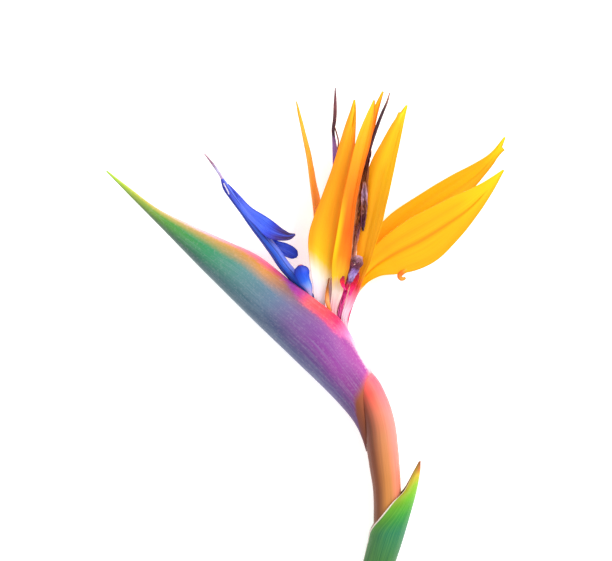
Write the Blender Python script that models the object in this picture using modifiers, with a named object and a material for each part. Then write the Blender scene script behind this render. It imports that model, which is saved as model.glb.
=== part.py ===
"""Bird of paradise flower (Strelitzia), cut and lying on its side on a table.

Every piece of the flower head is its own object: the stalk, the green sheath on it, the boat-shaped
spathe, and in the spathe's slit three flowers, each with three orange sepals, a fused pair of petals
(the "arrow"), a style and its ovary. Two closed buds wait inside the spathe.

Lengths below are millimetres. X and Y lie on the table and Z is up. An empty carries the flower, and
brings the middle of its outline over the origin. The flower has one middle plane, which lies level at
MIDDLE above the table. Heights in the tables are measured from it: the near side is above, the far
side below.
"""

import math

import bmesh
import bpy
import numpy as np

MM = 0.001  # the tables are in millimetres, Blender's scene in metres
MIDDLE = 12.5  # height of the flower's middle plane above the table
CENTRE = (0.21, -0.93)  # middle of the flower's outline as the tables measure it
GAP = 0.3  # clear space where one piece sits against another

SEPAL_WALL = 0.8
PETAL_WALL = 0.9
WITHERED_WALL = 1.2  # petals shrunk to a strip
PAPER_WALL = 0.7  # the thin dry bract
SHEATH_WALL = 1.0
SPATHE_WALL = 1.5
LIP_STAND = 5.0  # how far the spathe's hollow is carved on past its lips

STEPS = 2  # from one row of a table to the next
STALK_SIDES = 18
THIN_SIDES = 10
STYLE_SIDES = 8
SHEATH_STRIPS = 12


# ---------------------------------------------------------------- colours and collections

FINISHES = {  # name: (base colour, roughness)
    "stalk_green": ((0.55, 0.36, 0.16), 0.45),
    "sheath_green": ((0.16, 0.45, 0.14), 0.45),
    "spathe_teal": ((0.20, 0.28, 0.38), 0.4),
    "sepal_orange": ((1.0, 0.42, 0.0), 0.45),
    "petal_blue": ((0.02, 0.08, 0.65), 0.4),
    "petal_withered": ((0.16, 0.05, 0.06), 0.7),
    "petal_purple": ((0.22, 0.10, 0.42), 0.6),
    "style_lilac": ((0.55, 0.42, 0.60), 0.5),
    "ovary_cream": ((0.85, 0.72, 0.62), 0.5),
    "bud_orange": ((0.85, 0.50, 0.20), 0.5),
    "bract_paper": ((0.70, 0.42, 0.20), 0.6),
}


def clear_scene():
    for item in list(bpy.data.objects):
        bpy.data.objects.remove(item, do_unlink=True)


def new_collection(name):
    collection = bpy.data.collections.new(name)
    bpy.context.scene.collection.children.link(collection)
    return collection


def finish(name):
    """The material of this name, made at its first use."""
    found = bpy.data.materials.get(name)
    if found:
        return found
    colour, roughness = FINISHES[name]
    material = bpy.data.materials.new(name)
    material.use_nodes = True
    shader = material.node_tree.nodes["Principled BSDF"]
    shader.inputs["Base Color"].default_value = (*colour, 1.0)
    shader.inputs["Roughness"].default_value = roughness
    shader.inputs["Metallic"].default_value = 0.0
    material.diffuse_color = (*colour, 1.0)
    return material


def place(name, data, collection, material):
    """A new object for this mesh or curve, with its material, in the collection."""
    item = bpy.data.objects.new(name, data)
    collection.objects.link(item)
    if material:
        data.materials.append(finish(material))
    return item


# ---------------------------------------------------------------- smooth lines and frames


def through(rows, steps):
    """A smooth curve through the rows, as rows with this many steps from each given one to the next."""
    rows = np.array(rows, float)
    spans = np.linalg.norm(np.diff(rows[:, :3], axis=0), axis=1)
    at = np.concatenate([[0.0], np.cumsum(spans)])
    slopes = np.gradient(rows, at, axis=0)
    share = np.linspace(0.0, len(spans), len(spans) * steps + 1)
    first = np.minimum(share.astype(int), len(spans) - 1)
    u = (share - first)[:, None]
    span = spans[first][:, None]
    start = (2 * u**3 - 3 * u**2 + 1) * rows[first] + (u**3 - 2 * u**2 + u) * span * slopes[first]
    end = (3 * u**2 - 2 * u**3) * rows[first + 1] + (u**3 - u**2) * span * slopes[first + 1]
    return start + end


def unit(vectors):
    return vectors / np.linalg.norm(vectors, axis=1)[:, None]


def frames(route, roll):
    """Unit vectors to the right of a route and up from it, turned by the roll about the route."""
    forward = unit(np.gradient(route, axis=0))
    right = unit(np.cross(forward, [0.0, 0.0, 1.0]))
    up = np.cross(right, forward)
    turn = np.radians(roll)[:, None]
    return right * np.cos(turn) + up * np.sin(turn), up * np.cos(turn) - right * np.sin(turn)


# ---------------------------------------------------------------- shapes


def placed_grid(name, along, across, where):
    """A grid of faces whose every point goes to where(row, share), with share from -1 to 1 across it.

    It is split into triangles before it gets a thickness, so that both its faces bend alike."""
    bm = bmesh.new()
    bmesh.ops.create_grid(bm, x_segments=across, y_segments=along, size=1.0)
    for vertex in bm.verts:
        row = round((vertex.co.y + 1) / 2 * along)
        vertex.co = where(row, vertex.co.x) * MM
    bmesh.ops.triangulate(bm, faces=bm.faces[:], quad_method="FIXED")
    mesh = bpy.data.meshes.new(name)
    bm.to_mesh(mesh)
    bm.free()
    return mesh


def thicken(item, wall):
    solidify = item.modifiers.new("wall", "SOLIDIFY")
    solidify.thickness = wall * MM
    solidify.offset = 0.0
    return item


def blade(name, rows, collection, material, wall=SEPAL_WALL, across=4, fold=1.6):
    """A petal, sepal or bract: a strip along its midrib, cupped across.

    Each row is x, y, height, left and right half-widths, roll in degrees and cup, the height of the
    edges over the midrib. A fold near 1 makes a sharp keel, and 2 a round channel."""
    table = through(rows, STEPS)
    route = table[:, :3] + [0.0, 0.0, MIDDLE]
    right, up = frames(route, table[:, 5])

    def where(row, share):
        width = table[row, 4] if share > 0 else table[row, 3]
        return route[row] + right[row] * share * width + up[row] * table[row, 6] * abs(share) ** fold

    mesh = placed_grid(name, len(table) - 1, across, where)
    return thicken(place(name, mesh, collection, material), wall)


def rod(name, rows, collection, material, sides=THIN_SIDES):
    """A round stem through rows of x, y, height and radius, closed at both ends."""
    table = through(rows, STEPS)
    curve = bpy.data.curves.new(name, "CURVE")
    curve.dimensions = "3D"
    curve.bevel_depth = MM
    curve.bevel_resolution = sides // 2 - 2
    curve.use_fill_caps = True
    spline = curve.splines.new("POLY")
    spline.points.add(len(table) - 1)
    for point, (x, y, height, radius) in zip(spline.points, table):
        point.co = (x * MM, y * MM, (height + MIDDLE) * MM, 1.0)
        point.radius = radius
    return place(name, curve, collection, material)


def as_mesh(item):
    """The item as a closed mesh object of the same name, in the same collection."""
    graph = bpy.context.evaluated_depsgraph_get()
    mesh = bpy.data.meshes.new_from_object(item.evaluated_get(graph))
    bm = bmesh.new()
    bm.from_mesh(mesh)
    bmesh.ops.remove_doubles(bm, verts=bm.verts[:], dist=0.0001 * MM)
    bmesh.ops.recalc_face_normals(bm, faces=bm.faces[:])
    bm.to_mesh(mesh)
    bm.free()
    name = item.name
    collection = item.users_collection[0]
    matrix = item.matrix_world.copy()
    bpy.data.objects.remove(item)
    made = place(name, mesh, collection, None)
    made.matrix_world = matrix
    return made


def boolean(item, operation, others):
    """Joins the objects of a collection to the item, or cuts them from it, and removes them."""
    modifier = item.modifiers.new(operation.lower(), "BOOLEAN")
    modifier.operation = operation
    modifier.solver = "EXACT"
    modifier.operand_type = "COLLECTION"
    modifier.collection = others
    made = as_mesh(item)
    for other in list(others.objects):
        bpy.data.objects.remove(other)
    bpy.data.collections.remove(others)
    return made


def loft(name, rings, collection, material):
    """A closed solid through rings of the same number of points, each ring a closed section."""
    bm = bmesh.new()
    loops = [[bm.verts.new(point * MM) for point in ring] for ring in rings]
    sides = len(loops[0])
    for low, high in zip(loops, loops[1:]):
        for side in range(sides):
            after = (side + 1) % sides
            bm.faces.new((low[side], low[after], high[after], high[side]))
    bm.faces.new(loops[0][::-1])
    bm.faces.new(loops[-1])
    bmesh.ops.recalc_face_normals(bm, faces=bm.faces[:])
    bmesh.ops.triangulate(bm, faces=bm.faces[:])
    mesh = bpy.data.meshes.new(name)
    bm.to_mesh(mesh)
    bm.free()
    return place(name, mesh, collection, material)


# ---------------------------------------------------------------- stalk and sheath

# x, y, height, radius, from the cut end up to the blunt top that the flowers stand on
STALK = [
    (20.0, -150.0, -5.3, 7.3),
    (27.2, -123.0, -4.2, 7.2),
    (28.2, -119.4, -4.0, 8.1),
    (28.7, -117.4, -3.9, 8.0),
    (29.2, -115.6, -3.8, 6.1),
    (36.4, -87.0, -2.5, 6.0),
    (39.6, -74.0, -1.9, 6.1),
    (40.7, -64.0, -1.4, 6.9),
    (40.5, -51.0, -0.8, 7.0),
    (38.9, -35.5, -0.3, 7.7),
    (37.9, -27.0, 0.0, 7.9),
    (37.2, -20.5, 0.0, 7.8),
    (35.6, -13.0, 0.0, 7.7),
    (33.2, -6.0, 0.0, 7.5),
    (30.4, 0.2, 0.0, 7.1),
    (27.0, 5.2, 0.0, 6.3),
    (23.6, 8.8, 0.0, 5.7),
    (20.6, 11.8, 0.0, 5.0),
    (18.4, 14.0, 0.0, 4.3),
    (17.4, 15.0, 0.0, 3.5),
]

# keel x, y, lip x, y, height, half-width, half the space between the lips
SHEATH = [
    (36.7, -116.7, 21.9, -112.9, -3.75, 7.7, 0.8),
    (43.7, -88.9, 29.1, -85.1, -2.5, 7.5, 0.8),
    (46.9, -79.3, 30.9, -77.2, -2.1, 7.7, 0.8),
    (50.0, -69.0, 32.5, -70.5, -1.7, 8.1, 2.6),
    (52.4, -60.5, 37.0, -63.8, -1.3, 8.5, 8.0),
    (54.3, -53.5, 43.0, -56.5, -1.0, 8.3, 8.2),
    (55.9, -46.0, 49.6, -50.0, -0.7, 5.0, 4.9),
    (56.9, -39.5, 54.4, -40.6, -0.5, 1.7, 1.7),
    (57.2, -36.2, 56.4, -36.6, -0.4, 0.5, 0.5),
]


def section(row, share):
    """A point of a boat's wall: share 0 is the keel, -1 and 1 are the lips."""
    keel, lip = row[0:2], row[2:4]
    height, half, apart = row[4:7]
    widest = math.pi - math.asin(min(1.0, apart / half))
    turn = share * widest
    depth = (1 - math.cos(turn)) / (1 - math.cos(widest))
    x, y = keel + (lip - keel) * depth
    return np.array([x, y, MIDDLE + height + half * math.sin(turn)])


def make_stalk(parts):
    rod("stalk", STALK, parts, "stalk_green", sides=STALK_SIDES)


def make_sheath(parts):
    """A leaf rolled round the stalk, split down its left side and ending in a free tip."""
    table = through(SHEATH, STEPS)

    def where(row, share):
        return section(table[row], share)

    mesh = placed_grid("sheath", len(table) - 1, SHEATH_STRIPS, where)
    thicken(place("sheath", mesh, parts, "sheath_green"), SHEATH_WALL)


# ---------------------------------------------------------------- spathe

# keel x, y, lip x, y, height, half-width, half the slit between the lips
SPATHE = [
    (-100.0, 108.5, -99.5, 109.1, 0.0, 0.4, 0.2),
    (-91.0, 99.2, -89.2, 101.2, 0.0, 1.1, 0.3),
    (-77.5, 85.5, -73.8, 89.9, 0.0, 2.9, 0.4),
    (-65.0, 72.8, -57.0, 81.8, 0.0, 5.6, 0.5),
    (-52.5, 60.0, -39.0, 73.6, 0.0, 8.4, 0.6),
    (-40.0, 47.6, -23.5, 66.3, 0.0, 10.9, 1.0),
    (-27.5, 35.2, -8.3, 54.9, 0.0, 13.0, 3.2),
    (-15.0, 23.2, 6.8, 44.8, 0.0, 13.6, 5.6),
    (-2.5, 11.2, 18.6, 35.2, 0.0, 13.4, 5.6),
    (8.5, 0.6, 24.6, 24.0, 0.0, 12.3, 3.0),
    (17.0, -8.2, 29.6, 14.6, 0.0, 10.0, 0.9),
    (20.6, -12.3, 32.8, 9.2, 0.0, 7.7, 0.6),
    (23.4, -16.0, 34.4, 2.0, 0.0, 5.9, 0.5),
    (26.0, -20.4, 35.0, -8.0, 0.0, 4.2, 0.5),
    (28.2, -25.6, 35.5, -18.0, 0.0, 2.5, 0.5),
    (30.1, -31.6, 36.0, -28.0, 0.0, 1.0, 0.5),
]
SPATHE_SIDES = 20
HOLLOW_ROWS = (2, 10)  # rows between the solid beak and the neck round the stalk


def flank(row, turn):
    """A point of a section's closed outline, round from the keel at 0 to the lips at pi."""
    keel, lip = row[0:2], row[2:4]
    x, y = keel + (lip - keel) * (1 - math.cos(turn)) / 2
    return np.array([x, y, MIDDLE + row[4] + row[5] * math.sin(turn)])


def outer_ring(row):
    turns = np.linspace(-math.pi, math.pi, SPATHE_SIDES + 1)[:-1]
    ring = np.array([flank(row, turn) for turn in turns])
    ring[:, 2] = np.maximum(ring[:, 2], 0.0)  # pressed flat where it lies on the table
    return ring


def hollow_ring(row):
    """The same section one wall further in, with a neck of the slit's width out past the lips."""
    inner = row.copy()
    depth = np.linalg.norm(row[2:4] - row[0:2])
    outward = (row[2:4] - row[0:2]) / depth
    inner[0:2] += outward * SPATHE_WALL
    inner[2:4] -= outward * SPATHE_WALL
    inner[5] -= SPATHE_WALL
    meets = math.pi - math.asin(min(1.0, row[6] / inner[5]))
    turns = np.linspace(-meets, meets, SPATHE_SIDES - 3)
    ring = [flank(inner, turn) for turn in turns]
    past = row[2:4] + outward * LIP_STAND
    level = MIDDLE + row[4]
    ring.append(np.array([*past, level + row[6]]))
    ring.append(np.array([*past, level]))
    ring.append(np.array([*past, level - row[6]]))
    return np.array(ring)


def make_spathe(parts):
    """A boat-shaped bract: a solid beak, a hollow behind it, a slit along its upper edge, and a
    neck that clasps the stalk and leaves room for it."""
    table = through(SPATHE, STEPS)
    hull = loft("spathe", [outer_ring(row) for row in table], parts, "spathe_teal")
    cutters = new_collection("cutters")
    first, last = HOLLOW_ROWS
    inside = table[first * STEPS : last * STEPS + 1]
    loft("hollow", [hollow_ring(row) for row in inside], cutters, None)
    room = [(x, y, height, radius + GAP) for x, y, height, radius in STALK]
    as_mesh(rod("stalk_room", room, cutters, None, sides=STALK_SIDES))
    boolean(hull, "DIFFERENCE", cutters)


# ---------------------------------------------------------------- sepals

# x, y, height, left half-width, right half-width, roll, cup, from the claw to the tip
SEPALS = {
    "sepal_1_near": [
        (6.8, 42.9, 2.4, 2.4, 2.2, 0, 0.3),
        (7.3, 51.5, 4.2, 3.8, 4.0, -5, 0.8),
        (7.6, 61.5, 5.8, 5.9, 6.4, -8, 1.3),
        (9.0, 74.0, 7.6, 8.3, 7.4, -10, 1.5),
        (13.3, 92.5, 9.6, 6.6, 7.8, -9, 1.4),
        (18.0, 110.5, 10.8, 4.8, 5.6, -7, 1.1),
        (21.6, 127.0, 11.8, 3.4, 2.9, -5, 0.9),
        (23.6, 137.5, 12.0, 1.9, 1.2, 0, 0.5),
        (24.0, 143.6, 12.0, 0.45, 0.45, 0, 0.1),
    ],
    "sepal_1_far": [
        (6.0, 42.6, -2.5, 1.3, 1.3, -10, 0.2),
        (5.8, 56.0, -3.6, 3.8, 3.6, -50, 0.8),
        (5.3, 72.0, -3.3, 6.4, 6.1, -70, 1.2),
        (4.8, 87.0, -3.0, 7.2, 7.2, -72, 1.6),
        (3.0, 100.0, -2.2, 6.0, 6.0, -74, 1.3),
        (0.9, 115.0, -1.0, 4.0, 4.0, -74, 0.9),
        (-1.9, 129.5, 0.2, 2.4, 2.4, -70, 0.5),
        (-4.9, 143.5, 1.4, 0.45, 0.45, -60, 0.1),
    ],
    "sepal_1_median": [
        (9.0, 42.6, -0.6, 1.1, 1.1, 60, 0.2),
        (11.2, 55.0, -3.6, 2.6, 2.6, 25, 0.8),
        (13.4, 70.0, -6.9, 3.6, 3.7, 8, 1.4),
        (15.2, 88.0, -8.2, 4.4, 4.6, 2, 1.6),
        (18.2, 105.0, -8.0, 3.8, 3.8, 0, 1.3),
        (21.6, 120.0, -6.8, 2.2, 2.2, 0, 0.8),
        (23.8, 129.0, -5.8, 0.45, 0.45, 0, 0.1),
    ],
    "sepal_3_near": [
        (13.6, 38.6, 2.5, 1.6, 1.8, 0, 0.3),
        (15.4, 48.0, 5.2, 2.5, 2.7, 4, 0.7),
        (17.4, 62.0, 9.0, 4.4, 4.5, 6, 1.2),
        (20.0, 77.0, 12.0, 4.6, 3.3, 6, 1.4),
        (22.8, 94.0, 13.8, 4.6, 2.3, 4, 1.4),
        (25.8, 109.5, 14.4, 4.2, 2.6, 2, 1.3),
        (29.0, 124.0, 14.4, 3.7, 3.2, 0, 1.1),
        (32.0, 135.5, 14.2, 2.2, 2.0, 0, 0.6),
        (33.7, 143.2, 14.0, 0.45, 0.45, 0, 0.1),
    ],
    "sepal_3_median": [
        (15.9, 38.3, 0.0, 1.1, 1.1, 60, 0.2),
        (17.8, 50.0, 0.8, 2.4, 2.4, 25, 0.8),
        (19.2, 64.0, 2.0, 3.6, 3.6, 8, 1.2),
        (21.4, 81.0, 3.6, 4.0, 4.0, 0, 1.4),
        (24.4, 99.0, 5.2, 4.2, 4.2, 0, 1.4),
        (28.0, 116.0, 7.0, 3.6, 3.6, 0, 1.2),
        (32.2, 131.0, 8.8, 2.2, 2.2, 0, 0.8),
        (35.0, 139.5, 9.6, 1.4, 1.4, 0, 0.4),
        (38.2, 147.8, 10.2, 0.45, 0.45, 0, 0.1),
    ],
    "sepal_3_far": [
        (13.6, 38.3, -2.5, 1.3, 1.3, -10, 0.2),
        (16.2, 50.0, -4.6, 2.6, 2.6, -4, 0.8),
        (20.4, 66.0, -6.0, 3.6, 3.6, 0, 1.2),
        (26.0, 82.0, -6.2, 4.0, 4.0, 0, 1.4),
        (32.0, 96.0, -5.4, 3.2, 3.2, 0, 1.1),
        (37.6, 108.5, -4.0, 0.45, 0.45, 0, 0.1),
    ],
    "sepal_2_near": [
        (19.0, 35.5, 2.5, 1.3, 1.6, 0, 0.3),
        (22.1, 44.0, 4.4, 1.9, 2.1, 4, 0.6),
        (25.4, 53.5, 6.2, 2.3, 2.6, 10, 0.8),
        (28.4, 63.5, 7.2, 3.4, 4.0, 20, 0.8),
        (30.8, 74.0, 8.6, 5.4, 5.2, 26, 1.0),
        (33.2, 85.0, 9.8, 6.0, 6.2, 28, 1.1),
        (36.0, 97.0, 10.6, 7.4, 6.2, 28, 1.1),
        (39.2, 109.5, 11.0, 8.0, 5.4, 24, 1.1),
        (42.6, 120.5, 11.4, 5.6, 3.8, 14, 1.0),
        (46.2, 131.5, 11.8, 3.2, 2.1, 0, 0.6),
        (50.0, 140.9, 11.5, 0.45, 0.45, 0, 0.1),
    ],
    "sepal_2_far": [
        (18.1, 35.2, -2.5, 1.2, 1.2, -10, 0.2),
        (21.6, 45.0, -4.6, 2.4, 2.4, -10, 0.6),
        (27.4, 56.0, -7.2, 4.6, 4.6, -8, 1.2),
        (36.6, 66.8, -9.8, 9.0, 6.4, -4, 1.9),
        (48.5, 78.6, -11.5, 10.6, 7.4, -2, 2.4),
        (62.5, 91.0, -12.1, 8.2, 7.8, 0, 2.4),
        (76.5, 100.6, -11.5, 7.2, 6.2, 0, 2.0),
        (87.2, 108.6, -10.0, 5.2, 3.2, 0, 1.2),
        (94.2, 116.4, -8.0, 2.4, 2.2, 0, 0.6),
        (99.9, 126.0, -5.4, 0.45, 0.45, 0, 0.1),
    ],
    "sepal_2_median": [
        (20.8, 35.3, 0.0, 1.4, 1.4, 50, 0.2),
        (22.8, 43.0, 0.2, 1.9, 1.8, 34, 0.6),
        (26.3, 52.0, 0.6, 3.2, 2.7, 16, 0.9),
        (33.0, 60.0, 1.0, 6.3, 5.6, 8, 1.6),
        (44.0, 67.5, 1.8, 9.5, 11.3, 4, 2.4),
        (57.0, 74.0, 2.6, 12.0, 12.9, 2, 2.9),
        (70.0, 82.0, 3.4, 11.0, 9.7, 0, 2.7),
        (82.0, 90.5, 4.6, 8.8, 5.2, 0, 1.9),
        (91.0, 100.0, 6.2, 4.2, 2.6, 0, 0.8),
        (98.3, 109.0, 7.6, 0.45, 0.45, 0, 0.1),
    ],
}


def make_sepals(parts):
    for name, rows in SEPALS.items():
        blade(name, rows, parts, "sepal_orange")


# ---------------------------------------------------------------- arrows: petals, wings and styles

# The shaft of each arrow: x, y, height, radius
ARROW_1 = [
    (4.2, 43.4, 0.0, 1.5),
    (0.2, 48.4, 0.4, 2.3),
    (-5.4, 55.2, 0.8, 2.8),
    (-10.7, 61.3, 1.2, 2.9),
    (-15.7, 68.5, 1.8, 2.8),
    (-20.9, 75.2, 2.4, 2.5),
    (-26.2, 81.9, 3.0, 2.3),
    (-31.4, 88.9, 3.8, 2.0),
    (-36.6, 95.8, 4.4, 1.9),
    (-39.8, 100.4, 4.9, 1.8),
    (-41.8, 104.6, 5.3, 0.9),
]
ARROW_3 = [
    (11.7, 41.2, 1.0, 1.0),
    (12.6, 54.0, 1.8, 1.4),
    (13.6, 72.0, 1.6, 1.7),
    (15.4, 95.0, 2.0, 2.0),
    (15.0, 113.0, 2.4, 1.7),
    (13.6, 127.5, 3.0, 0.7),
]

# The wings that stand out from the fresh arrow's shaft and end in its barbs
WINGS_1 = {
    "near_wing": [
        (-39.2, 101.6, 5.4, 0.8, 1.0, 0, 0.1),
        (-34.0, 95.0, 5.2, 1.7, 1.8, 0, 0.3),
        (-29.0, 88.5, 4.8, 2.7, 2.4, 4, 0.5),
        (-23.0, 82.8, 4.8, 4.3, 3.0, 8, 0.8),
        (-17.0, 78.4, 5.4, 4.4, 4.0, 12, 0.9),
        (-12.0, 76.6, 6.2, 2.9, 3.2, 14, 0.7),
        (-8.2, 76.1, 7.0, 1.6, 1.9, 14, 0.4),
        (-5.3, 76.9, 7.4, 0.45, 0.45, 14, 0.1),
    ],
    "far_wing": [
        (-26.0, 81.4, 2.4, 1.0, 1.0, 0, 0.1),
        (-20.0, 76.0, 1.0, 1.4, 1.6, -4, 0.3),
        (-15.6, 72.4, -0.4, 2.0, 2.4, -8, 0.5),
        (-10.0, 69.3, -1.6, 3.3, 3.0, -10, 0.5),
        (-7.2, 67.8, -2.2, 3.1, 2.9, -10, 0.4),
        (-5.3, 66.7, -2.4, 2.2, 2.1, -10, 0.3),
        (-4.3, 66.1, -2.5, 0.7, 0.7, -10, 0.1),
    ],
}

# The withered arrow is a shrunken strip with no barbs left
ARROW_2 = [
    (16.9, 37.6, 2.0, 0.9, 0.9, 0, 0.2),
    (18.8, 46.0, 4.0, 1.1, 1.1, 0, 0.3),
    (21.4, 55.0, 5.8, 1.2, 1.2, 0, 0.4),
    (23.3, 66.0, 7.6, 1.3, 1.3, 0, 0.4),
    (24.6, 76.0, 8.6, 1.7, 1.5, 0, 0.6),
    (26.3, 85.0, 9.4, 2.4, 2.4, 0, 0.8),
    (27.7, 95.0, 9.8, 2.8, 2.9, 0, 0.8),
    (28.7, 104.0, 10.4, 2.1, 2.2, 0, 0.6),
    (30.2, 112.0, 11.2, 1.3, 1.3, 0, 0.4),
    (31.7, 118.8, 12.0, 0.7, 0.7, 0, 0.2),
]

STYLES = {  # x, y, height, radius, from the arrow's tip outwards
    "style_1": [
        (-42.4, 106.0, 5.4, 0.8),
        (-44.8, 109.8, 5.8, 0.8),
        (-47.8, 113.8, 6.2, 0.6),
        (-50.6, 117.2, 6.6, 0.3),
    ],
    "style_2": [
        (32.0, 120.2, 12.2, 0.7),
        (34.8, 129.0, 12.8, 0.8),
        (38.0, 137.4, 13.6, 0.8),
        (40.0, 142.0, 14.0, 0.6),
        (41.5, 147.0, 14.4, 0.3),
    ],
    "style_3": [
        (13.6, 128.8, 3.1, 0.7),
        (14.3, 134.0, 3.4, 0.9),
        (14.6, 142.0, 3.8, 0.9),
        (14.6, 150.0, 4.2, 0.3),
    ],
}

# The hooded petal in front of the fresh arrow's base, and the curled remains of the withered one
HOOD = [
    (2.2, 47.0, 3.5, 0.9, 0.9, 0, -0.3),
    (1.2, 50.6, 6.2, 2.0, 1.9, 0, -0.6),
    (-0.7, 54.6, 8.4, 3.5, 2.6, 0, -1.4),
    (-2.0, 58.4, 9.4, 3.7, 3.5, 0, -1.8),
    (-2.6, 60.5, 9.1, 2.9, 2.7, 0, -1.4),
    (-2.9, 61.9, 8.6, 0.8, 0.8, 0, -0.4),
]
CURL = [
    (20.4, 50.8, 8.0, 0.9),
    (22.0, 54.2, 9.4, 1.5),
    (23.8, 57.8, 10.6, 1.9),
    (25.2, 61.2, 11.6, 1.7),
    (25.8, 64.0, 12.2, 2.2),
    (25.2, 66.4, 12.4, 1.8),
    (24.6, 68.0, 12.2, 0.8),
]

# The thin dry bract at the foot of the flower behind
BRACTEOLE = [
    (12.8, 36.0, 3.5, 0.9, 0.6, 0, -0.1),
    (12.0, 39.6, 4.3, 1.2, 0.5, 0, -0.2),
    (10.9, 44.0, 5.4, 1.5, 0.8, 0, -0.3),
    (10.7, 49.0, 6.2, 1.3, 0.9, 0, -0.3),
    (11.0, 52.4, 6.7, 0.9, 0.7, 0, -0.2),
    (11.5, 55.2, 7.0, 0.4, 0.4, 0, 0.0),
]


def make_arrows(parts):
    wings = new_collection("wings")
    for name, rows in WINGS_1.items():
        blade(name, rows, wings, None, wall=PETAL_WALL)
    shaft = as_mesh(rod("arrow_1", ARROW_1, parts, "petal_blue"))
    boolean(shaft, "UNION", wings)
    blade("arrow_2", ARROW_2, parts, "petal_withered", wall=WITHERED_WALL)
    rod("arrow_3", ARROW_3, parts, "petal_purple")
    blade("hood_1", HOOD, parts, "petal_blue", wall=PETAL_WALL)
    rod("hood_2", CURL, parts, "petal_withered")
    for name, rows in STYLES.items():
        rod(name, rows, parts, "style_lilac", sides=STYLE_SIDES)


# ---------------------------------------------------------------- inside the spathe

OVARIES = {  # x, y, height, radius, from the stalk's top to the foot of the sepals
    "ovary_1": [
        (15.5, 18.4, 0.0, 1.1),
        (11.7, 23.5, 0.0, 1.8),
        (9.0, 32.0, 0.0, 2.5),
        (7.0, 41.6, 0.0, 2.7),
    ],
    "ovary_2": [
        (23.1, 17.7, 0.0, 1.1),
        (21.4, 22.0, 0.0, 1.7),
        (19.6, 28.5, 0.0, 2.0),
        (18.8, 34.2, 0.0, 2.2),
    ],
    "ovary_3": [
        (19.2, 19.1, 0.0, 1.0),
        (16.8, 23.5, 0.0, 1.6),
        (14.2, 30.5, 0.0, 2.1),
        (13.4, 37.2, 0.0, 2.4),
    ],
}
BUDS = {
    "bud_1": [
        (14.4, 16.0, 0.0, 1.1),
        (6.0, 21.6, 0.0, 2.2),
        (-6.0, 31.4, 0.0, 3.4),
        (-18.0, 43.0, 0.0, 3.0),
        (-33.0, 59.5, 0.0, 0.6),
    ],
    "bud_2": [
        (13.4, 12.8, 0.0, 1.0),
        (7.0, 15.2, 0.0, 1.6),
        (-4.0, 22.0, 0.0, 2.0),
        (-15.0, 31.6, 0.0, 0.6),
    ],
}


def make_inside(parts):
    for name, rows in OVARIES.items():
        rod(name, rows, parts, "ovary_cream")
    for name, rows in BUDS.items():
        rod(name, rows, parts, "bud_orange")
    blade("bracteole", BRACTEOLE, parts, "bract_paper", wall=PAPER_WALL)


# ---------------------------------------------------------------- the whole flower


def main():
    clear_scene()
    parts = new_collection("bird_of_paradise_flower")
    make_stalk(parts)
    make_sheath(parts)
    make_spathe(parts)
    make_sepals(parts)
    make_arrows(parts)
    make_inside(parts)
    flower = bpy.data.objects.new("flower", None)
    for item in parts.objects:
        item.parent = flower
        if item.type == "MESH":
            item.data.shade_smooth()
    parts.objects.link(flower)
    flower.location = (-CENTRE[0] * MM, -CENTRE[1] * MM, 0.0)


main()
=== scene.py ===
import math

import bmesh
import bpy
import numpy as np
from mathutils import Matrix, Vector, kdtree


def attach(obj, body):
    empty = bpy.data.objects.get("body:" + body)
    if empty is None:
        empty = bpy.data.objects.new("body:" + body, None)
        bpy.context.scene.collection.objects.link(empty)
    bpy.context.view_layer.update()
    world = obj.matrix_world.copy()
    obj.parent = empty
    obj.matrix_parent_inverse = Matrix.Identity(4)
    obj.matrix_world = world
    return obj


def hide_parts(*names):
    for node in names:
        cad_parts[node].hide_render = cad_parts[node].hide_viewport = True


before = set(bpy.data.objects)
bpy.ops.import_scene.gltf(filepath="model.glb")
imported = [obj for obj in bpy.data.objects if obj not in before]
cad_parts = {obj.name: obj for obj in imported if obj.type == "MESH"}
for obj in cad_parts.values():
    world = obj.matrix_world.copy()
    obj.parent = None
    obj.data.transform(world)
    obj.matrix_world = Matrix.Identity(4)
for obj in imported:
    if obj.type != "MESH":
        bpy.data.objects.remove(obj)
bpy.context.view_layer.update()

# the flower lies on its side: its middle plane is level, this far above the table
mm = 0.001
flower = {
    "middle": 12.5,
    "shift": (-0.21, 0.93),  # from the tables' own centre to the frame's
    "leafSteps": 16,  # grid rows between two rows of a blade's table
    "leafAcross": 36,
    "rodSteps": 12,
    "fullBreadth": 4.5,  # half-width from which a blade's veins have their full height
    "cupPower": 1.6,  # how a blade's sides rise from its midrib
    "creaseDepth": 0.6,
    "leafWeld": 0.000002,  # points this near one another become one
    "stemWeld": 0.0000005,
    "creaseEnd": 0.08,  # share of a sepal over which a crease begins and ends
}


# smooth lines through the tables

def through(rows, steps):
    rows = np.array(rows, float)
    spans = np.linalg.norm(np.diff(rows[:, :3], axis=0), axis=1)
    at = np.concatenate([[0.0], np.cumsum(spans)])
    slopes = np.gradient(rows, at, axis=0)
    share = np.linspace(0.0, len(spans), len(spans) * steps + 1)
    first = np.minimum(share.astype(int), len(spans) - 1)
    u = (share - first)[:, None]
    span = spans[first][:, None]
    start = (2 * u**3 - 3 * u**2 + 1) * rows[first] + (u**3 - 2 * u**2 + u) * span * slopes[first]
    end = (3 * u**2 - 2 * u**3) * rows[first + 1] + (u**3 - u**2) * span * slopes[first + 1]
    return start + end


def unit(vectors):
    return vectors / np.linalg.norm(vectors, axis=-1, keepdims=True)


def sideAndUp(route, roll):
    forward = unit(np.gradient(route, axis=0))
    right = unit(np.cross(forward, [0.0, 0.0, 1.0]))
    up = np.cross(right, forward)
    turn = np.radians(roll)[:, None]
    return right * np.cos(turn) + up * np.sin(turn), up * np.cos(turn) - right * np.sin(turn)


def alongRoute(route):
    spans = np.linalg.norm(np.diff(route, axis=0), axis=1)
    at = np.concatenate([[0.0], np.cumsum(spans)])
    return at / at[-1]


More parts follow.
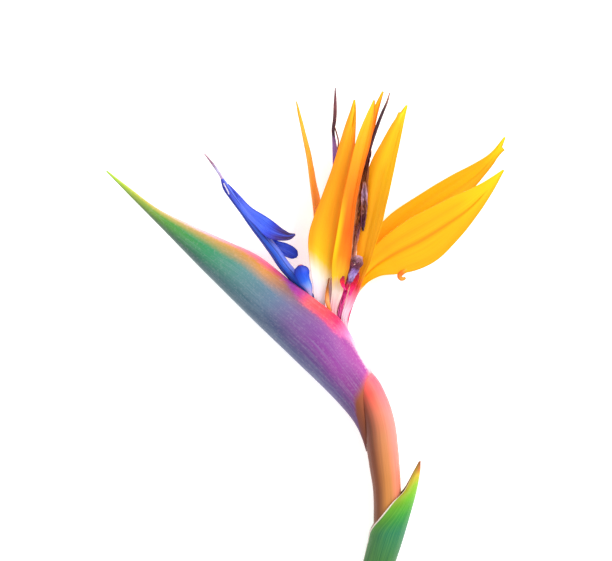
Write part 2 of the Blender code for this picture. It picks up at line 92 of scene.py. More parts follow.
def inFrame(points):
    points = np.array(points, float)
    points[..., 0] += flower["shift"][0]
    points[..., 1] += flower["shift"][1]
    return points * mm


def ease(values, low, high):
    t = np.clip((values - low) / (high - low), 0.0, 1.0)
    return t * t * (3 - 2 * t)


# meshes from points, and what makes a finished piece of them

def intoScene(name, data):
    item = bpy.data.objects.new(name, data)
    bpy.context.scene.collection.objects.link(item)
    return item


def storeField(mesh, name, values):
    if name in mesh.attributes:
        mesh.attributes.remove(mesh.attributes[name])
    attribute = mesh.attributes.new(name, "FLOAT", "POINT")
    attribute.data.foreach_set("value", np.asarray(values, np.float32).ravel())


def gridObject(name, points, fields):
    # points is rows x columns x 3; its faces turn the same way as up
    rows, columns = points.shape[:2]
    index = np.arange(rows * columns).reshape(rows, columns)
    corners = [index[:-1, :-1], index[:-1, 1:], index[1:, 1:], index[1:, :-1]]
    faces = np.stack([corner.ravel() for corner in corners], axis=1)
    mesh = bpy.data.meshes.new(name)
    mesh.from_pydata(points.reshape(-1, 3).tolist(), [], faces.tolist())
    for field, values in fields.items():
        storeField(mesh, field, values)
    return intoScene(name, mesh)


def loftObject(name, rings):
    bm = bmesh.new()
    loops = [[bm.verts.new(point) for point in ring] for ring in rings]
    sides = len(loops[0])
    for low, high in zip(loops, loops[1:]):
        for side in range(sides):
            after = (side + 1) % sides
            bm.faces.new((low[side], low[after], high[after], high[side]))
    bm.faces.new(loops[0][::-1])
    bm.faces.new(loops[-1])
    bmesh.ops.recalc_face_normals(bm, faces=bm.faces[:])
    mesh = bpy.data.meshes.new(name)
    bm.to_mesh(mesh)
    bm.free()
    return intoScene(name, mesh)


def curveObject(name, rows, steps=flower["rodSteps"]):
    # rows of x, y, height, radius
    table = through(rows, steps)
    places = inFrame(table[:, :3] + [0.0, 0.0, flower["middle"]])
    curve = bpy.data.curves.new(name, "CURVE")
    curve.dimensions = "3D"
    spline = curve.splines.new("POLY")
    spline.points.add(len(table) - 1)
    for point, place, radius in zip(spline.points, places, table[:, 3]):
        point.co = (*place, 1.0)
        point.radius = radius * mm
    return intoScene(name, curve)


def plainMesh(item, name):
    # the evaluated object as a mesh of its own; the source goes
    graph = bpy.context.evaluated_depsgraph_get()
    evaluated = item.evaluated_get(graph)
    mesh = bpy.data.meshes.new_from_object(evaluated, preserve_all_data_layers=True, depsgraph=graph)
    bpy.data.objects.remove(item)
    mesh.name = name
    piece = intoScene(name, mesh)
    mesh.shade_smooth()
    return piece


def grow(name, source, tree, **settings):
    # ribDepth sets the input Rib Depth
    modifier = source.modifiers.new(tree.name, "NODES")
    modifier.node_group = tree
    for item in tree.interface.items_tree:
        word = item.name[0].lower() + item.name[1:].replace(" ", "")
        if item.item_type == "SOCKET" and item.in_out == "INPUT" and word in settings:
            modifier[item.identifier] = settings[word]
    return plainMesh(source, name)


def keep(piece, slot, *nodes):
    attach(piece, "root")
    if nodes:
        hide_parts(*nodes)


# short words for what is added to a node tree

inHand = {}  # the tree that is being made, and the material and shader it belongs to


def link(output, socket):
    inHand["tree"].links.new(output, socket)


def add(kind, values=None, **settings):
    made = inHand["tree"].nodes.new(kind)
    for key, value in settings.items():
        setattr(made, key, value)
    for key, value in (values or {}).items():
        if isinstance(value, bpy.types.NodeSocket):
            link(value, made.inputs[key])
        else:
            made.inputs[key].default_value = value
    return made


def calc(operation, first, second=0.0, third=0.0):
    return add("ShaderNodeMath", {0: first, 1: second, 2: third}, operation=operation).outputs[0]


def times(first, second):
    return calc("MULTIPLY", first, second)


def noise(vector, scale, detail=2.0):
    return add("ShaderNodeTexNoise", {"Vector": vector, "Scale": scale, "Detail": detail}).outputs[0]


def seededNoise(seed, vector, scale, detail=2.0):
    values = {"W": seed, "Vector": vector, "Scale": scale, "Detail": detail}
    return add("ShaderNodeTexNoise", values, noise_dimensions="4D").outputs[0]


def spot(x, y=0.0, z=0.0):
    return add("ShaderNodeCombineXYZ", {0: x, 1: y, 2: z}).outputs[0]


def objectSpot():
    return add("ShaderNodeTexCoord").outputs["Object"]


def vectorCalc(operation, first, second=None, scale=None):
    values = {0: first}
    if second is not None:
        values[1] = second
    if scale is not None:
        values["Scale"] = scale
    made = add("ShaderNodeVectorMath", values, operation=operation)
    return made.outputs["Value" if operation == "DOT_PRODUCT" else "Vector"]


def rise(value, low, high, toLow=0.0, toHigh=1.0):
    # from toLow to toHigh, smoothly, as the value goes from low to high
    values = {0: value, 1: low, 2: high, 3: toLow, 4: toHigh}
    return add("ShaderNodeMapRange", values, interpolation_type="SMOOTHSTEP").outputs[0]


# the trees that give the pieces their flesh

def newTree(name, inputs):
    # an input's first value says what kind it is
    tree = bpy.data.node_groups.new(name, "GeometryNodeTree")
    tree.interface.new_socket("Geometry", in_out="INPUT", socket_type="NodeSocketGeometry")
    for label, value in inputs.items():
        kind = "Material" if value is None else "Int" if isinstance(value, int) else "Float"
        socket = tree.interface.new_socket(label, in_out="INPUT", socket_type="NodeSocket" + kind)
        if value is not None:
            socket.default_value = value
    tree.interface.new_socket("Geometry", in_out="OUTPUT", socket_type="NodeSocketGeometry")
    inHand["tree"] = tree
    return add("NodeGroupInput").outputs


def closeTree(geometry, material):
    real = add("GeometryNodeRealizeInstances", {0: geometry})
    dressed = add("GeometryNodeSetMaterial", {"Geometry": real.outputs[0], "Material": material})
    add("NodeGroupOutput", {0: dressed.outputs[0]})
    return inHand["tree"]


def readField(name, kind="FLOAT"):
    return add("GeometryNodeInputNamedAttribute", {"Name": name}, data_type=kind).outputs[0]


def storeNode(geometry, name, value, kind="FLOAT"):
    values = {"Geometry": geometry, "Name": name, "Value": value}
    return add("GeometryNodeStoreNamedAttribute", values, data_type=kind).outputs[0]


def shifted(geometry, direction, distance):
    values = {"Geometry": geometry, "Offset": vectorCalc("SCALE", direction, scale=distance)}
    return add("GeometryNodeSetPosition", values).outputs[0]


def randomSize(low, high, seed):
    return add("FunctionNodeRandomValue", {2: low, 3: high, "Seed": seed}, data_type="FLOAT").outputs[1]


def welded(geometry, distance):
    return add("GeometryNodeMergeByDistance", {"Geometry": geometry, "Distance": distance}).outputs[0]


def onPoints(points, instance, size):
    values = {"Points": points, "Instance": instance, "Scale": size}
    return add("GeometryNodeInstanceOnPoints", values).outputs[0]


def fleshTree():
    # a petal, sepal or leaf: veins raised along it, a waved margin, then its thickness
    given = newTree("petalFlesh", {
        "Thickness": 0.0008, "Thin Margin": 0.35, "Veins": 22.0, "Vein Height": 0.00005,
        "Wave": 0.0003, "Waves": 9.0, "Crumple": 0.0, "Crumple Size": 400.0, "Seed": 1.0,
        "Material": None,
    })
    along = readField("along")
    across = readField("across")
    normal = add("GeometryNodeInputNormal").outputs[0]
    # veins fan out a little and fade towards both ends
    bend = seededNoise(given["Seed"], spot(times(along, 3.0)), 1.0)
    phase = calc("MULTIPLY_ADD", across, times(given["Veins"], math.pi), bend)
    fade = times(rise(along, 0.0, 0.15), rise(along, 1.0, 0.85))
    fade = times(fade, readField("breadth"))
    vein = times(times(calc("COSINE", phase), fade), given["Vein Height"])
    # the wave grows towards the margins
    ripple = seededNoise(given["Seed"], spot(times(along, given["Waves"]), across), 1.0, 1.0)
    outer = calc("POWER", calc("ABSOLUTE", across), 2.5)
    wave = times(times(calc("SUBTRACT", ripple, 0.5), outer), given["Wave"])
    position = add("GeometryNodeInputPosition").outputs[0]
    crease = seededNoise(given["Seed"], position, given["Crumple Size"])
    crumple = times(calc("SUBTRACT", crease, 0.5), given["Crumple"])
    lift = calc("ADD", calc("ADD", vein, times(wave, 2.0)), crumple)
    moved = shifted(given["Geometry"], normal, lift)
    # half of the thickness goes each way
    wall = times(given["Thickness"], rise(
        calc("ABSOLUTE", across), 0.55, 1.0, 1.0, given["Thin Margin"]))
    wall = times(wall, rise(along, 1.0, 0.94, 0.45, 1.0))
    lowered = shifted(moved, normal, times(wall, -0.5))
    sheet = {"Mesh": lowered, "Offset": normal, "Offset Scale": wall, "Individual": False}
    raised = add("GeometryNodeExtrudeMesh", sheet, mode="FACES").outputs[0]
    back = add("GeometryNodeFlipFaces", {"Mesh": lowered}).outputs[0]
    joined = add("GeometryNodeJoinGeometry")
    link(raised, joined.inputs[0])
    link(back, joined.inputs[0])
    return closeTree(welded(joined.outputs[0], flower["leafWeld"]), given["Material"])


def stemTree():
    # a stem, style or shaft swept along a curve, with ribs that run its whole length
    given = newTree("ribbedStem", {
        "Sides": 32, "Ribs": 0.0, "Rib Depth": 0.0, "Rib Sharpness": 1.0, "Rib Turn": 0.0,
        "Roughness": 0.0, "Grain": 300.0, "Seed": 1.0, "Material": None,
    })
    share = add("GeometryNodeSplineParameter").outputs["Factor"]
    line = storeNode(given["Geometry"], "along", share)
    tangent = add("GeometryNodeInputTangent").outputs[0]
    right = vectorCalc("NORMALIZE", vectorCalc("CROSS_PRODUCT", tangent, (0.0, 0.0, 1.0)))
    line = storeNode(line, "rightward", right, "FLOAT_VECTOR")
    ring = add("GeometryNodeCurvePrimitiveCircle", {"Resolution": given["Sides"], "Radius": 1.0}).outputs[0]
    turning = storeNode(ring, "turn", add("GeometryNodeSplineParameter").outputs["Factor"])
    swept = add("GeometryNodeCurveToMesh", {
        "Curve": line, "Profile Curve": turning, "Fill Caps": True,
        "Scale": add("GeometryNodeInputRadius").outputs[0]}).outputs[0]
    normal = add("GeometryNodeInputNormal").outputs[0]
    side = vectorCalc("DOT_PRODUCT", normal, readField("rightward", "FLOAT_VECTOR"))
    swept = storeNode(swept, "side", side)
    swept = storeNode(swept, "top", add("ShaderNodeSeparateXYZ", {0: normal}).outputs[2])
    # a rib's groove: the cosine made sharp by a power
    angle = times(calc("ADD", readField("turn"), given["Rib Turn"]), 2 * math.pi)
    wave = calc("MULTIPLY_ADD", calc("COSINE", times(angle, given["Ribs"])), 0.5, 0.5)
    groove = calc("POWER", wave, given["Rib Sharpness"])
    swept = storeNode(swept, "groove", groove)
    along = readField("along")
    fade = times(rise(along, 0.0, 0.05), rise(along, 1.0, 0.93))
    position = add("GeometryNodeInputPosition").outputs[0]
    rough = seededNoise(given["Seed"], position, given["Grain"])
    bumps = times(times(calc("SUBTRACT", rough, 0.5), given["Roughness"]), fade)
    moved = shifted(swept, normal, calc("SUBTRACT", bumps, times(times(groove, given["Rib Depth"]), fade)))
    return closeTree(welded(moved, flower["stemWeld"]), given["Material"])


petalFlesh = fleshTree()
ribbedStem = stemTree()
print("node trees ready")


# short words for what a finish is made of

def tint(code):
    # a colour written rrggbb, as the shader wants it
    linear = []
    for at in (0, 2, 4):
        value = int(code[at:at + 2], 16) / 255
        linear.append(value / 12.92 if value <= 0.04045 else ((value + 0.055) / 1.055) ** 2.4)
    return (*linear, 1.0)


def newFinish(name):
    material = bpy.data.materials.new(name)
    material.use_nodes = True
    inHand.update(material=material, tree=material.node_tree)
    material.node_tree.nodes.clear()
    inHand["shader"] = add("ShaderNodeBsdfPrincipled")
    add("ShaderNodeOutputMaterial", {0: inHand["shader"].outputs[0]})
    return inHand["shader"]


def field(name):
    return add("ShaderNodeAttribute", attribute_name=name).outputs["Fac"]


def ramp(value, stops):
    made = add("ShaderNodeValToRGB", {0: value})
    made.color_ramp.interpolation = "LINEAR"
    elements = made.color_ramp.elements
    while len(elements) < len(stops):
        elements.new(0.5)
    for element, (at, colour) in zip(elements, stops):
        element.position = at
    for element, (at, colour) in zip(elements, stops):
        element.color = tint(colour)
    return made.outputs[0]


def blend(share, first, second, mode="MIX"):
    made = add("ShaderNodeMix", {0: share}, data_type="RGBA", blend_type=mode)
    for socket, value in ((6, first), (7, second)):
        if isinstance(value, bpy.types.NodeSocket):
            link(value, made.inputs[socket])
        else:
            made.inputs[socket].default_value = tint(value)
    return made.outputs[2]


def streaks(along, across, lines, length=3.0, seed=0.0, detail=4.0):
    # noise drawn out along the piece, so that it reads as fibres
    return noise(spot(times(along, length), times(across, lines), seed), 1.0, detail)


def over(colour, tone, value, low, high, share=1.0):
    # the tone comes over the colour, up to its share, as the value goes from low to high
    return blend(rise(value, low, high, 0.0, share), colour, tone)


def finished(colour, roughness, specular=0.4, sheen=0.0, height=None, relief=0.0003, strength=0.5):
    shader = inHand["shader"]
    link(colour, shader.inputs["Base Color"])
    shader.inputs["Roughness"].default_value = roughness
    shader.inputs["Specular IOR Level"].default_value = specular
    shader.inputs["Sheen Weight"].default_value = sheen
    if height is not None:
        made = add("ShaderNodeBump", {"Height": height, "Distance": relief, "Strength": strength})
        link(made.outputs[0], shader.inputs["Normal"])
    return inHand["material"]


# stalk

stalk = {
    # x, y, height, radius, from the cut end up to the blunt top that the flowers stand on
    "rows": [
        (20, -150, -5.3, 7.3), (27.2, -123, -4.2, 7.2), (28.2, -119.4, -4, 8.1),
        (28.7, -117.4, -3.9, 8), (29.2, -115.6, -3.8, 6.1), (36.4, -87, -2.5, 6),
        (39.6, -74, -1.9, 6.1), (40.7, -64, -1.4, 6.9), (40.5, -51, -0.8, 7),
        (38.9, -35.5, -0.3, 7.7), (37.9, -27, 0, 7.9), (37.2, -20.5, 0, 7.8),
        (35.6, -13, 0, 7.7), (33.2, -6, 0, 7.5), (30.4, 0.2, 0, 7.1),
        (27, 5.2, 0, 6.3), (23.6, 8.8, 0, 5.7), (20.6, 11.8, 0, 5),
        (18.4, 14, 0, 4.3), (17.4, 15, 0, 3.5),
    ],
    "sides": 96,
    "fibres": 34,
    "fibreDepth": 0.00006,
    "tubes": 260,  # pale dots of the tubes in the cut end
    "rim": 0.7,  # free of tubes
    "cutFacing": -0.95,  # faces turned this squarely to the cut take its flesh
}


def stalkSkin():
    newFinish("stalkSkin")
    along = field("along")
    side = field("side")
    top = field("top")
    front = ramp(along, [
        (0.0, "56863e"), (0.34, "708c3e"), (0.48, "c4823c"), (0.62, "ca8042"),
        (0.74, "ce8052"), (0.81, "de785c"), (0.87, "f65a4e"), (0.95, "ff6a74"),
    ])
    # dark holds the painted shade of the side turned from the light, over a brown tone of the stalk's own;
    # pale holds the painted highlight of the side towards the light
    dark = ramp(along, [
        (0.0, "325828"), (0.45, "6e421e"), (0.62, "7a3c1c"),
        (0.78, "6c3424"), (0.88, "883a20"), (0.97, "c85442"),
    ])
    pale = ramp(along, [
        (0.0, "82ac60"), (0.45, "d8966c"), (0.62, "fa8670"),
        (0.8, "ff8680"), (0.9, "ff6078"), (1.0, "ffbaba"),
    ])
    # painted shade on the side turned from the light, painted highlight on the side towards it
    colour = blend(rise(side, 0.1, -0.75), front, dark)
    colour = over(colour, pale, side, 0.2, 0.8)
    lines = streaks(along, calc("ARCTAN2", side, top), 7.0, 5.0)
    colour = blend(rise(lines, 0.35, 0.75, 0.0, 0.35), colour, blend(
        0.8, colour, "ffe4c8", "SOFT_LIGHT"))
    colour = over(colour, "8c5c34", lines, 0.5, 0.2, 0.3)
    return finished(colour, 0.42, 0.35, height=lines, relief=0.0004, strength=0.35)


def cutFlesh():
    newFinish("cutFlesh")
    grain = add("ShaderNodeTexVoronoi", {"Vector": objectSpot(), "Scale": 900.0}).outputs[0]
    colour = blend(rise(grain, 0.0, 0.6), "96a060", "d6d6a0")
    return finished(colour, 0.35, 0.5, height=grain, strength=0.6)


def tubeTree():
    # the tubes of the cut end: small rings set in a sunflower's spiral
    given = newTree("cutTubes", {
        "Count": 200, "Disc Radius": 0.006, "Tube Radius": 0.00015, "Seed": 3, "Material": None,
    })
    index = add("GeometryNodeInputIndex").outputs[0]
    share = calc("DIVIDE", calc("ADD", index, 0.5), given["Count"])
    reach = times(calc("SQRT", share), given["Disc Radius"])
    goldenAngle = math.pi * (3 - math.sqrt(5))
    angle = times(index, goldenAngle)
    reach = times(reach, randomSize(0.9, 1.1, given["Seed"]))
    reach = calc("MINIMUM", reach, given["Disc Radius"])
    place = spot(times(calc("COSINE", angle), reach), times(calc("SINE", angle), reach))
    points = add("GeometryNodePoints", {"Count": given["Count"], "Position": place}).outputs[0]
    tube = add("GeometryNodeMeshCylinder", {
        "Vertices": 7, "Radius": given["Tube Radius"], "Depth": 0.0003}).outputs[0]
    return closeTree(onPoints(points, tube, randomSize(0.6, 1.3, given["Seed"])), given["Material"])


def makeStalk():
    skin = stalkSkin()
    piece = grow("stalkStem", curveObject("stalkLine", stalk["rows"]), ribbedStem,
        sides=stalk["sides"], ribs=float(stalk["fibres"]), ribDepth=stalk["fibreDepth"],
        roughness=0.00025, grain=120.0, material=skin)
    keep(piece, "stalk", "stalk")
    # the face of the cut shows its paler flesh
    piece.data.materials.append(cutFlesh())
    rows = inFrame(np.array(stalk["rows"][:2])[:, :3] + [0.0, 0.0, flower["middle"]])
    ahead = unit(rows[1] - rows[0])
    for polygon in piece.data.polygons:
        if np.dot(polygon.normal, ahead) < stalk["cutFacing"]:
            polygon.material_index = 1
            polygon.use_smooth = False
    blank = intoScene("tubeSeed", bpy.data.meshes.new("tubeSeed"))
    tubes = grow("stalkTubes", blank, tubeTree(),
        count=stalk["tubes"], discRadius=(stalk["rows"][0][3] - stalk["rim"]) * mm, material=tubeFlesh())
    across = unit(np.cross(ahead, [0.0, 0.0, 1.0]))
    turn = np.column_stack([across, np.cross(ahead, across), ahead])
    spots = np.zeros(len(tubes.data.vertices) * 3)
    tubes.data.vertices.foreach_get("co", spots)
    spots = spots.reshape(-1, 3) @ turn.T + rows[0]
    tubes.data.vertices.foreach_set("co", spots.ravel())
    keep(tubes, "stalk")


def tubeFlesh():
    newFinish("tubeFlesh")
    grain = noise(objectSpot(), 700.0)
    return finished(blend(grain, "ececc8", "bec482"), 0.4)


makeStalk()
print("stalk made")


# sheath

sheath = {
    # keel x, y, lip x, y, height, half-width, half the space between the lips
    "rows": [
        (36.7, -116.7, 21.9, -112.9, -3.75, 7.7, 0.8), (43.7, -88.9, 29.1, -85.1, -2.5, 7.5, 0.8),
        (46.9, -79.3, 30.9, -77.2, -2.1, 7.7, 0.8), (50, -69, 32.5, -70.5, -1.7, 8.1, 2.6),
        (52.4, -60.5, 37, -63.8, -1.3, 8.5, 8), (54.3, -53.5, 43, -56.5, -1, 8.3, 8.2),
        (55.9, -46, 49.6, -50, -0.7, 5, 4.9), (56.9, -39.5, 54.4, -40.6, -0.5, 1.7, 1.7),
        (57.2, -36.2, 56.4, -36.6, -0.4, 0.5, 0.5),
    ],
    "across": 96,
    "thickness": 0.0010,
}


def sheathSkin():
    newFinish("sheathSkin")
    along, across = field("along"), field("across")
    edge = calc("ABSOLUTE", across)
    body = ramp(along, [
        (0.0, "46783c"), (0.35, "2e6838"), (0.52, "1c7654"), (0.64, "2c922e"),
        (0.76, "68b600"), (0.86, "96c000"), (0.92, "deb014"), (0.95, "ce6014"),
        (0.985, "962814"),
    ])
    deep = ramp(along, [
        (0.0, "30542c"), (0.5, "2c6434"), (0.7, "5ca01e"), (0.9, "c4b01e"), (1.0, "8c2812"),
    ])
    lines = streaks(along, across, 46.0, 2.5)
    colour = blend(rise(edge, 0.45, 0.9), body, deep)
    colour = over(colour, "8ccc5a", lines, 0.3, 0.7, 0.2)
    colour = over(colour, "1e5a32", lines, 0.5, 0.25, 0.25)
    # the dry margin is pale, with a pink tone
    colour = blend(times(rise(edge, 0.93, 0.985), rise(
        along, 0.97, 0.82)), colour, "f4e2d8")
    return finished(colour, 0.42, 0.28, height=lines, relief=0.0005, strength=0.4)


def makeSheath():
    table = through(sheath["rows"], flower["leafSteps"])
    share = np.linspace(-1.0, 1.0, sheath["across"] + 1)
    widest = math.pi - np.arcsin(np.minimum(1.0, table[:, 6] / table[:, 5]))[:, None]
    turn = share * widest
    depth = ((1 - np.cos(turn)) / (1 - np.cos(widest)))[:, :, None]
    flat = table[:, None, 0:2] + (table[:, None, 2:4] - table[:, None, 0:2]) * depth
    height = flower["middle"] + table[:, 4:5] + table[:, 5:6] * np.sin(turn)
    points = inFrame(np.concatenate([flat, height[:, :, None]], axis=2))
    along = alongRoute(table[:, 0:3])
    fields = {
        "along": np.repeat(along, len(share)),
        "across": np.tile(share, len(table)),
        "breadth": np.repeat(np.minimum(table[:, 5] / 6, 1.0), len(share)),
    }
    piece = grow("sheathLeaf", gridObject("sheathGrid", points, fields), petalFlesh,
        thickness=sheath["thickness"], thinMargin=0.4, veins=40.0, veinHeight=0.00004,
        wave=0.0004, waves=5.0, seed=7.0, material=sheathSkin())
    keep(piece, "sheath", "sheath")


makeSheath()
print("sheath made")


# spathe

spathe = {
    # keel x, y, lip x, y, height, half-width, half the slit between the lips
    "rows": [
        (-100, 108.5, -99.5, 109.1, 0, 0.4, 0.2), (-91, 99.2, -89.2, 101.2, 0, 1.1, 0.3),
        (-77.5, 85.5, -73.8, 89.9, 0, 2.9, 0.4), (-65, 72.8, -57, 81.8, 0, 5.6, 0.5),
        (-52.5, 60, -39, 73.6, 0, 8.4, 0.6), (-40, 47.6, -23.5, 66.3, 0, 10.9, 1),
        (-27.5, 35.2, -8.3, 54.9, 0, 13, 3.2), (-15, 23.2, 6.8, 44.8, 0, 13.6, 5.6),
        (-2.5, 11.2, 18.6, 35.2, 0, 13.4, 5.6), (8.5, 0.6, 24.6, 24, 0, 12.3, 3),
        (17, -8.2, 29.6, 14.6, 0, 10, 0.9), (20.6, -12.3, 32.8, 9.2, 0, 7.7, 0.6),
        (23.4, -16, 34.4, 2, 0, 5.9, 0.5), (26, -20.4, 35, -8, 0, 4.2, 0.5),
        (28.2, -25.6, 35.5, -18, 0, 2.5, 0.5), (30.1, -31.6, 36, -28, 0, 1, 0.5),
    ],
    "hollowRows": (2, 10),  # between the solid beak and the neck round the stalk
    "wall": 1.3,
    "lipStand": 5.0,
    "sides": 112,
    "steps": 11,
    "room": 0.08,  # between the neck and the stalk
    "planSpots": 41,  # from keel to lip, where the colours' fields are read
}


def spatheRing(row, inset, turns):
    keel, lip = row[0:2], row[2:4]
    outward = unit(lip - keel) * inset
    centreWays = (1 - np.cos(turns)) / 2
    flat = (keel + outward) + ((lip - outward) - (keel + outward)) * centreWays[:, None]
    height = flower["middle"] + row[4] + (row[5] - inset) * np.sin(turns)
    return np.column_stack([flat, height])


def hollowRing(row):
    inner = row[5] - spathe["wall"]
    meets = math.pi - math.asin(min(1.0, row[6] / inner))
    ring = spatheRing(row, spathe["wall"], np.linspace(-meets, meets, spathe["sides"] - 3))
    past = row[2:4] + unit(row[2:4] - row[0:2]) * spathe["lipStand"]
    level = flower["middle"] + row[4]
    ends = [(*past, level + row[6]), (*past, level), (*past, level - row[6])]
    return np.concatenate([ring, ends])


def spatheSkin():
    newFinish("spatheSkin")
    along = field("along")
    depth = field("depth")
    keel = ramp(along, [
        (0.0, "8cb428"), (0.13, "547428"), (0.25, "285446"), (0.45, "2a5868"),
        (0.62, "3a4c78"), (0.8, "564284"), (0.92, "683868"),
    ])
    flank = ramp(along, [
        (0.0, "bae61e"), (0.1, "96aa28"), (0.2, "4e962c"), (0.33, "2c8e5c"),
        (0.43, "548888"), (0.53, "5c7692"), (0.6, "725490"), (0.68, "863e96"),
        (0.76, "983e9c"), (0.84, "883a86"),
    ])
    shoulder = ramp(along, [
        (0.0, "c4ec32"), (0.12, "beb43c"), (0.24, "bca054"), (0.36, "ce9238"),
        (0.47, "d28832"), (0.54, "925a46"), (0.6, "783664"), (0.68, "96248c"),
        (0.84, "b43aa0"),
    ])
    margin = ramp(along, [
        (0.0, "cef05a"), (0.15, "d6ba78"), (0.26, "f0c8ce"), (0.38, "fc7896"),
        (0.46, "fa6082"), (0.5, "ce286e"), (0.535, "821ea0"), (0.57, "b4288c"),
        (0.6, "fc545a"), (0.65, "ff4050"), (0.69, "ff0860"), (0.735, "ff78ba"),
        (0.78, "ffd6e6"),
    ])
    # the bands wander a little, as the colour does in a living bract
    wander = streaks(along, depth, 3.0, 9.0, 5.0)
    mottle = noise(objectSpot(), 900.0, 4.0)
    at = calc("MULTIPLY_ADD", calc("SUBTRACT", wander, 0.5), 0.14, depth)
    at = calc("MULTIPLY_ADD", calc("SUBTRACT", mottle, 0.5), 0.09, at)
    colour = blend(rise(at, 0.04, 0.4), keel, flank)
    colour = over(colour, shoulder, at, 0.56, 0.9)
    # the lips redden over a wider band where the flowers stand out of them
    wide = times(rise(along, 0.5, 0.6), rise(along, 0.78, 0.69))
    lipAt = calc("MULTIPLY_ADD", wide, 0.15, at)
    colour = over(colour, margin, lipAt, 0.86, 0.98)
    fine = streaks(along, depth, 120.0, 9.0, 0.0, 6.0)
    broad = streaks(along, depth, 30.0, 9.0, 2.0)
    bloom = times(rise(broad, 0.45, 0.75), rise(depth, 0.75, 0.3))
    colour = blend(times(bloom, 0.2), colour, "96b0be")
    colour = over(colour, "e2d6e2", fine, 0.45, 0.75, 0.1)
    colour = over(colour, "281e3c", fine, 0.48, 0.25, 0.16)
    colour = over(colour, "e6d6e2", mottle, 0.5, 0.72, 0.08)
    # the neck takes the stalk's colours past a line that runs back along the keel
    back = calc("POWER", calc("MAXIMUM", calc("MULTIPLY_ADD", depth, -2.9, 1.0), 0.0), 2.0)
    past = calc("MULTIPLY_ADD", back, -0.11, along)
    # from the keel to the lip the neck goes from dark brown to pale pink: its own brown and salmon, with
    # painted shade on the keel side and a painted highlight towards the lips, as on the stalk
    neck = ramp(depth, [
        (0.0, "6e3638"), (0.3, "884628"), (0.6, "b05a38"), (0.8, "fa6854"), (1.0, "ff9696"),
    ])
    colour = over(colour, neck, past, 0.835, 0.865)
    grain = calc("ADD", fine, times(mottle, 0.6))
    return finished(colour, 0.4, 0.35, sheen=0.08, height=grain, relief=0.0004, strength=0.3)


def spatheInside():
    newFinish("spatheInside")
    along = field("along")
    lines = streaks(along, field("depth"), 40.0, 5.0)
    body = ramp(along, [(0.2, "ced896"), (0.5, "e8bea0"), (0.75, "ec788c")])
    colour = blend(rise(lines, 0.3, 0.7, 0.0, 0.4), body, "faecdc")
    return finished(colour, 0.3, 0.5, height=lines, relief=0.0004, strength=0.4)


def cutBy(item, name, cutters):
    for cutter in cutters:
        modifier = item.modifiers.new("cut", "BOOLEAN")
        modifier.operation = "DIFFERENCE"
        modifier.solver = "MANIFOLD"
        modifier.object = cutter
    made = plainMesh(item, name)
    for cutter in cutters:
        bpy.data.objects.remove(cutter)
    return made


def spatheFields(piece, table):
    # every point takes its place from the nearest spot of the plan
    spots = spathe["planSpots"]
    shares = np.linspace(0.0, 1.0, spots)
    keel, lip = table[:, None, 0:2], table[:, None, 2:4]
    flat = keel + (lip - keel) * shares[None, :, None]
    plan = inFrame(np.concatenate([flat, np.zeros((len(table), spots, 1))], axis=2))
    along = alongRoute((table[:, 0:2] + table[:, 2:4]) / 2)
    nearest = kdtree.KDTree(len(table) * spots)
    for number, spot in enumerate(plan.reshape(-1, 3)):
        nearest.insert(spot, number)
    nearest.balance()
    numbers = [nearest.find((vertex.co.x, vertex.co.y, 0.0))[1] for vertex in piece.data.vertices]
    storeField(piece.data, "along", [along[number // spots] for number in numbers])
    storeField(piece.data, "depth", [shares[number % spots] for number in numbers])


def makeSpathe():
    table = through(spathe["rows"], spathe["steps"])
    turns = np.linspace(-math.pi, math.pi, spathe["sides"] + 1)[:-1]
    rings = [spatheRing(row, 0.0, turns) for row in table]
    for ring in rings:
        ring[:, 2] = np.maximum(ring[:, 2], 0.0)  # pressed flat where it lies
    hull = loftObject("spatheHull", inFrame(rings))
    first, last = spathe["hollowRows"]
    inside = table[first * spathe["steps"]:last * spathe["steps"] + 1]
    hollow = loftObject("hollow", inFrame([hollowRing(row) for row in inside]))
    room = [(x, y, height, radius + spathe["room"]) for x, y, height, radius in stalk["rows"]]
    bore = grow("bore", curveObject("boreLine", room), ribbedStem, sides=stalk["sides"])
    hull.data.materials.append(spatheSkin())
    lining = spatheInside()
    for cutter in (hollow, bore):
        cutter.data.materials.clear()
        cutter.data.materials.append(lining)
    piece = cutBy(hull, "spatheBoat", [hollow, bore])
    spatheFields(piece, table)
    keep(piece, "spathe", "spathe")


makeSpathe()
print("spathe made")


# sepals

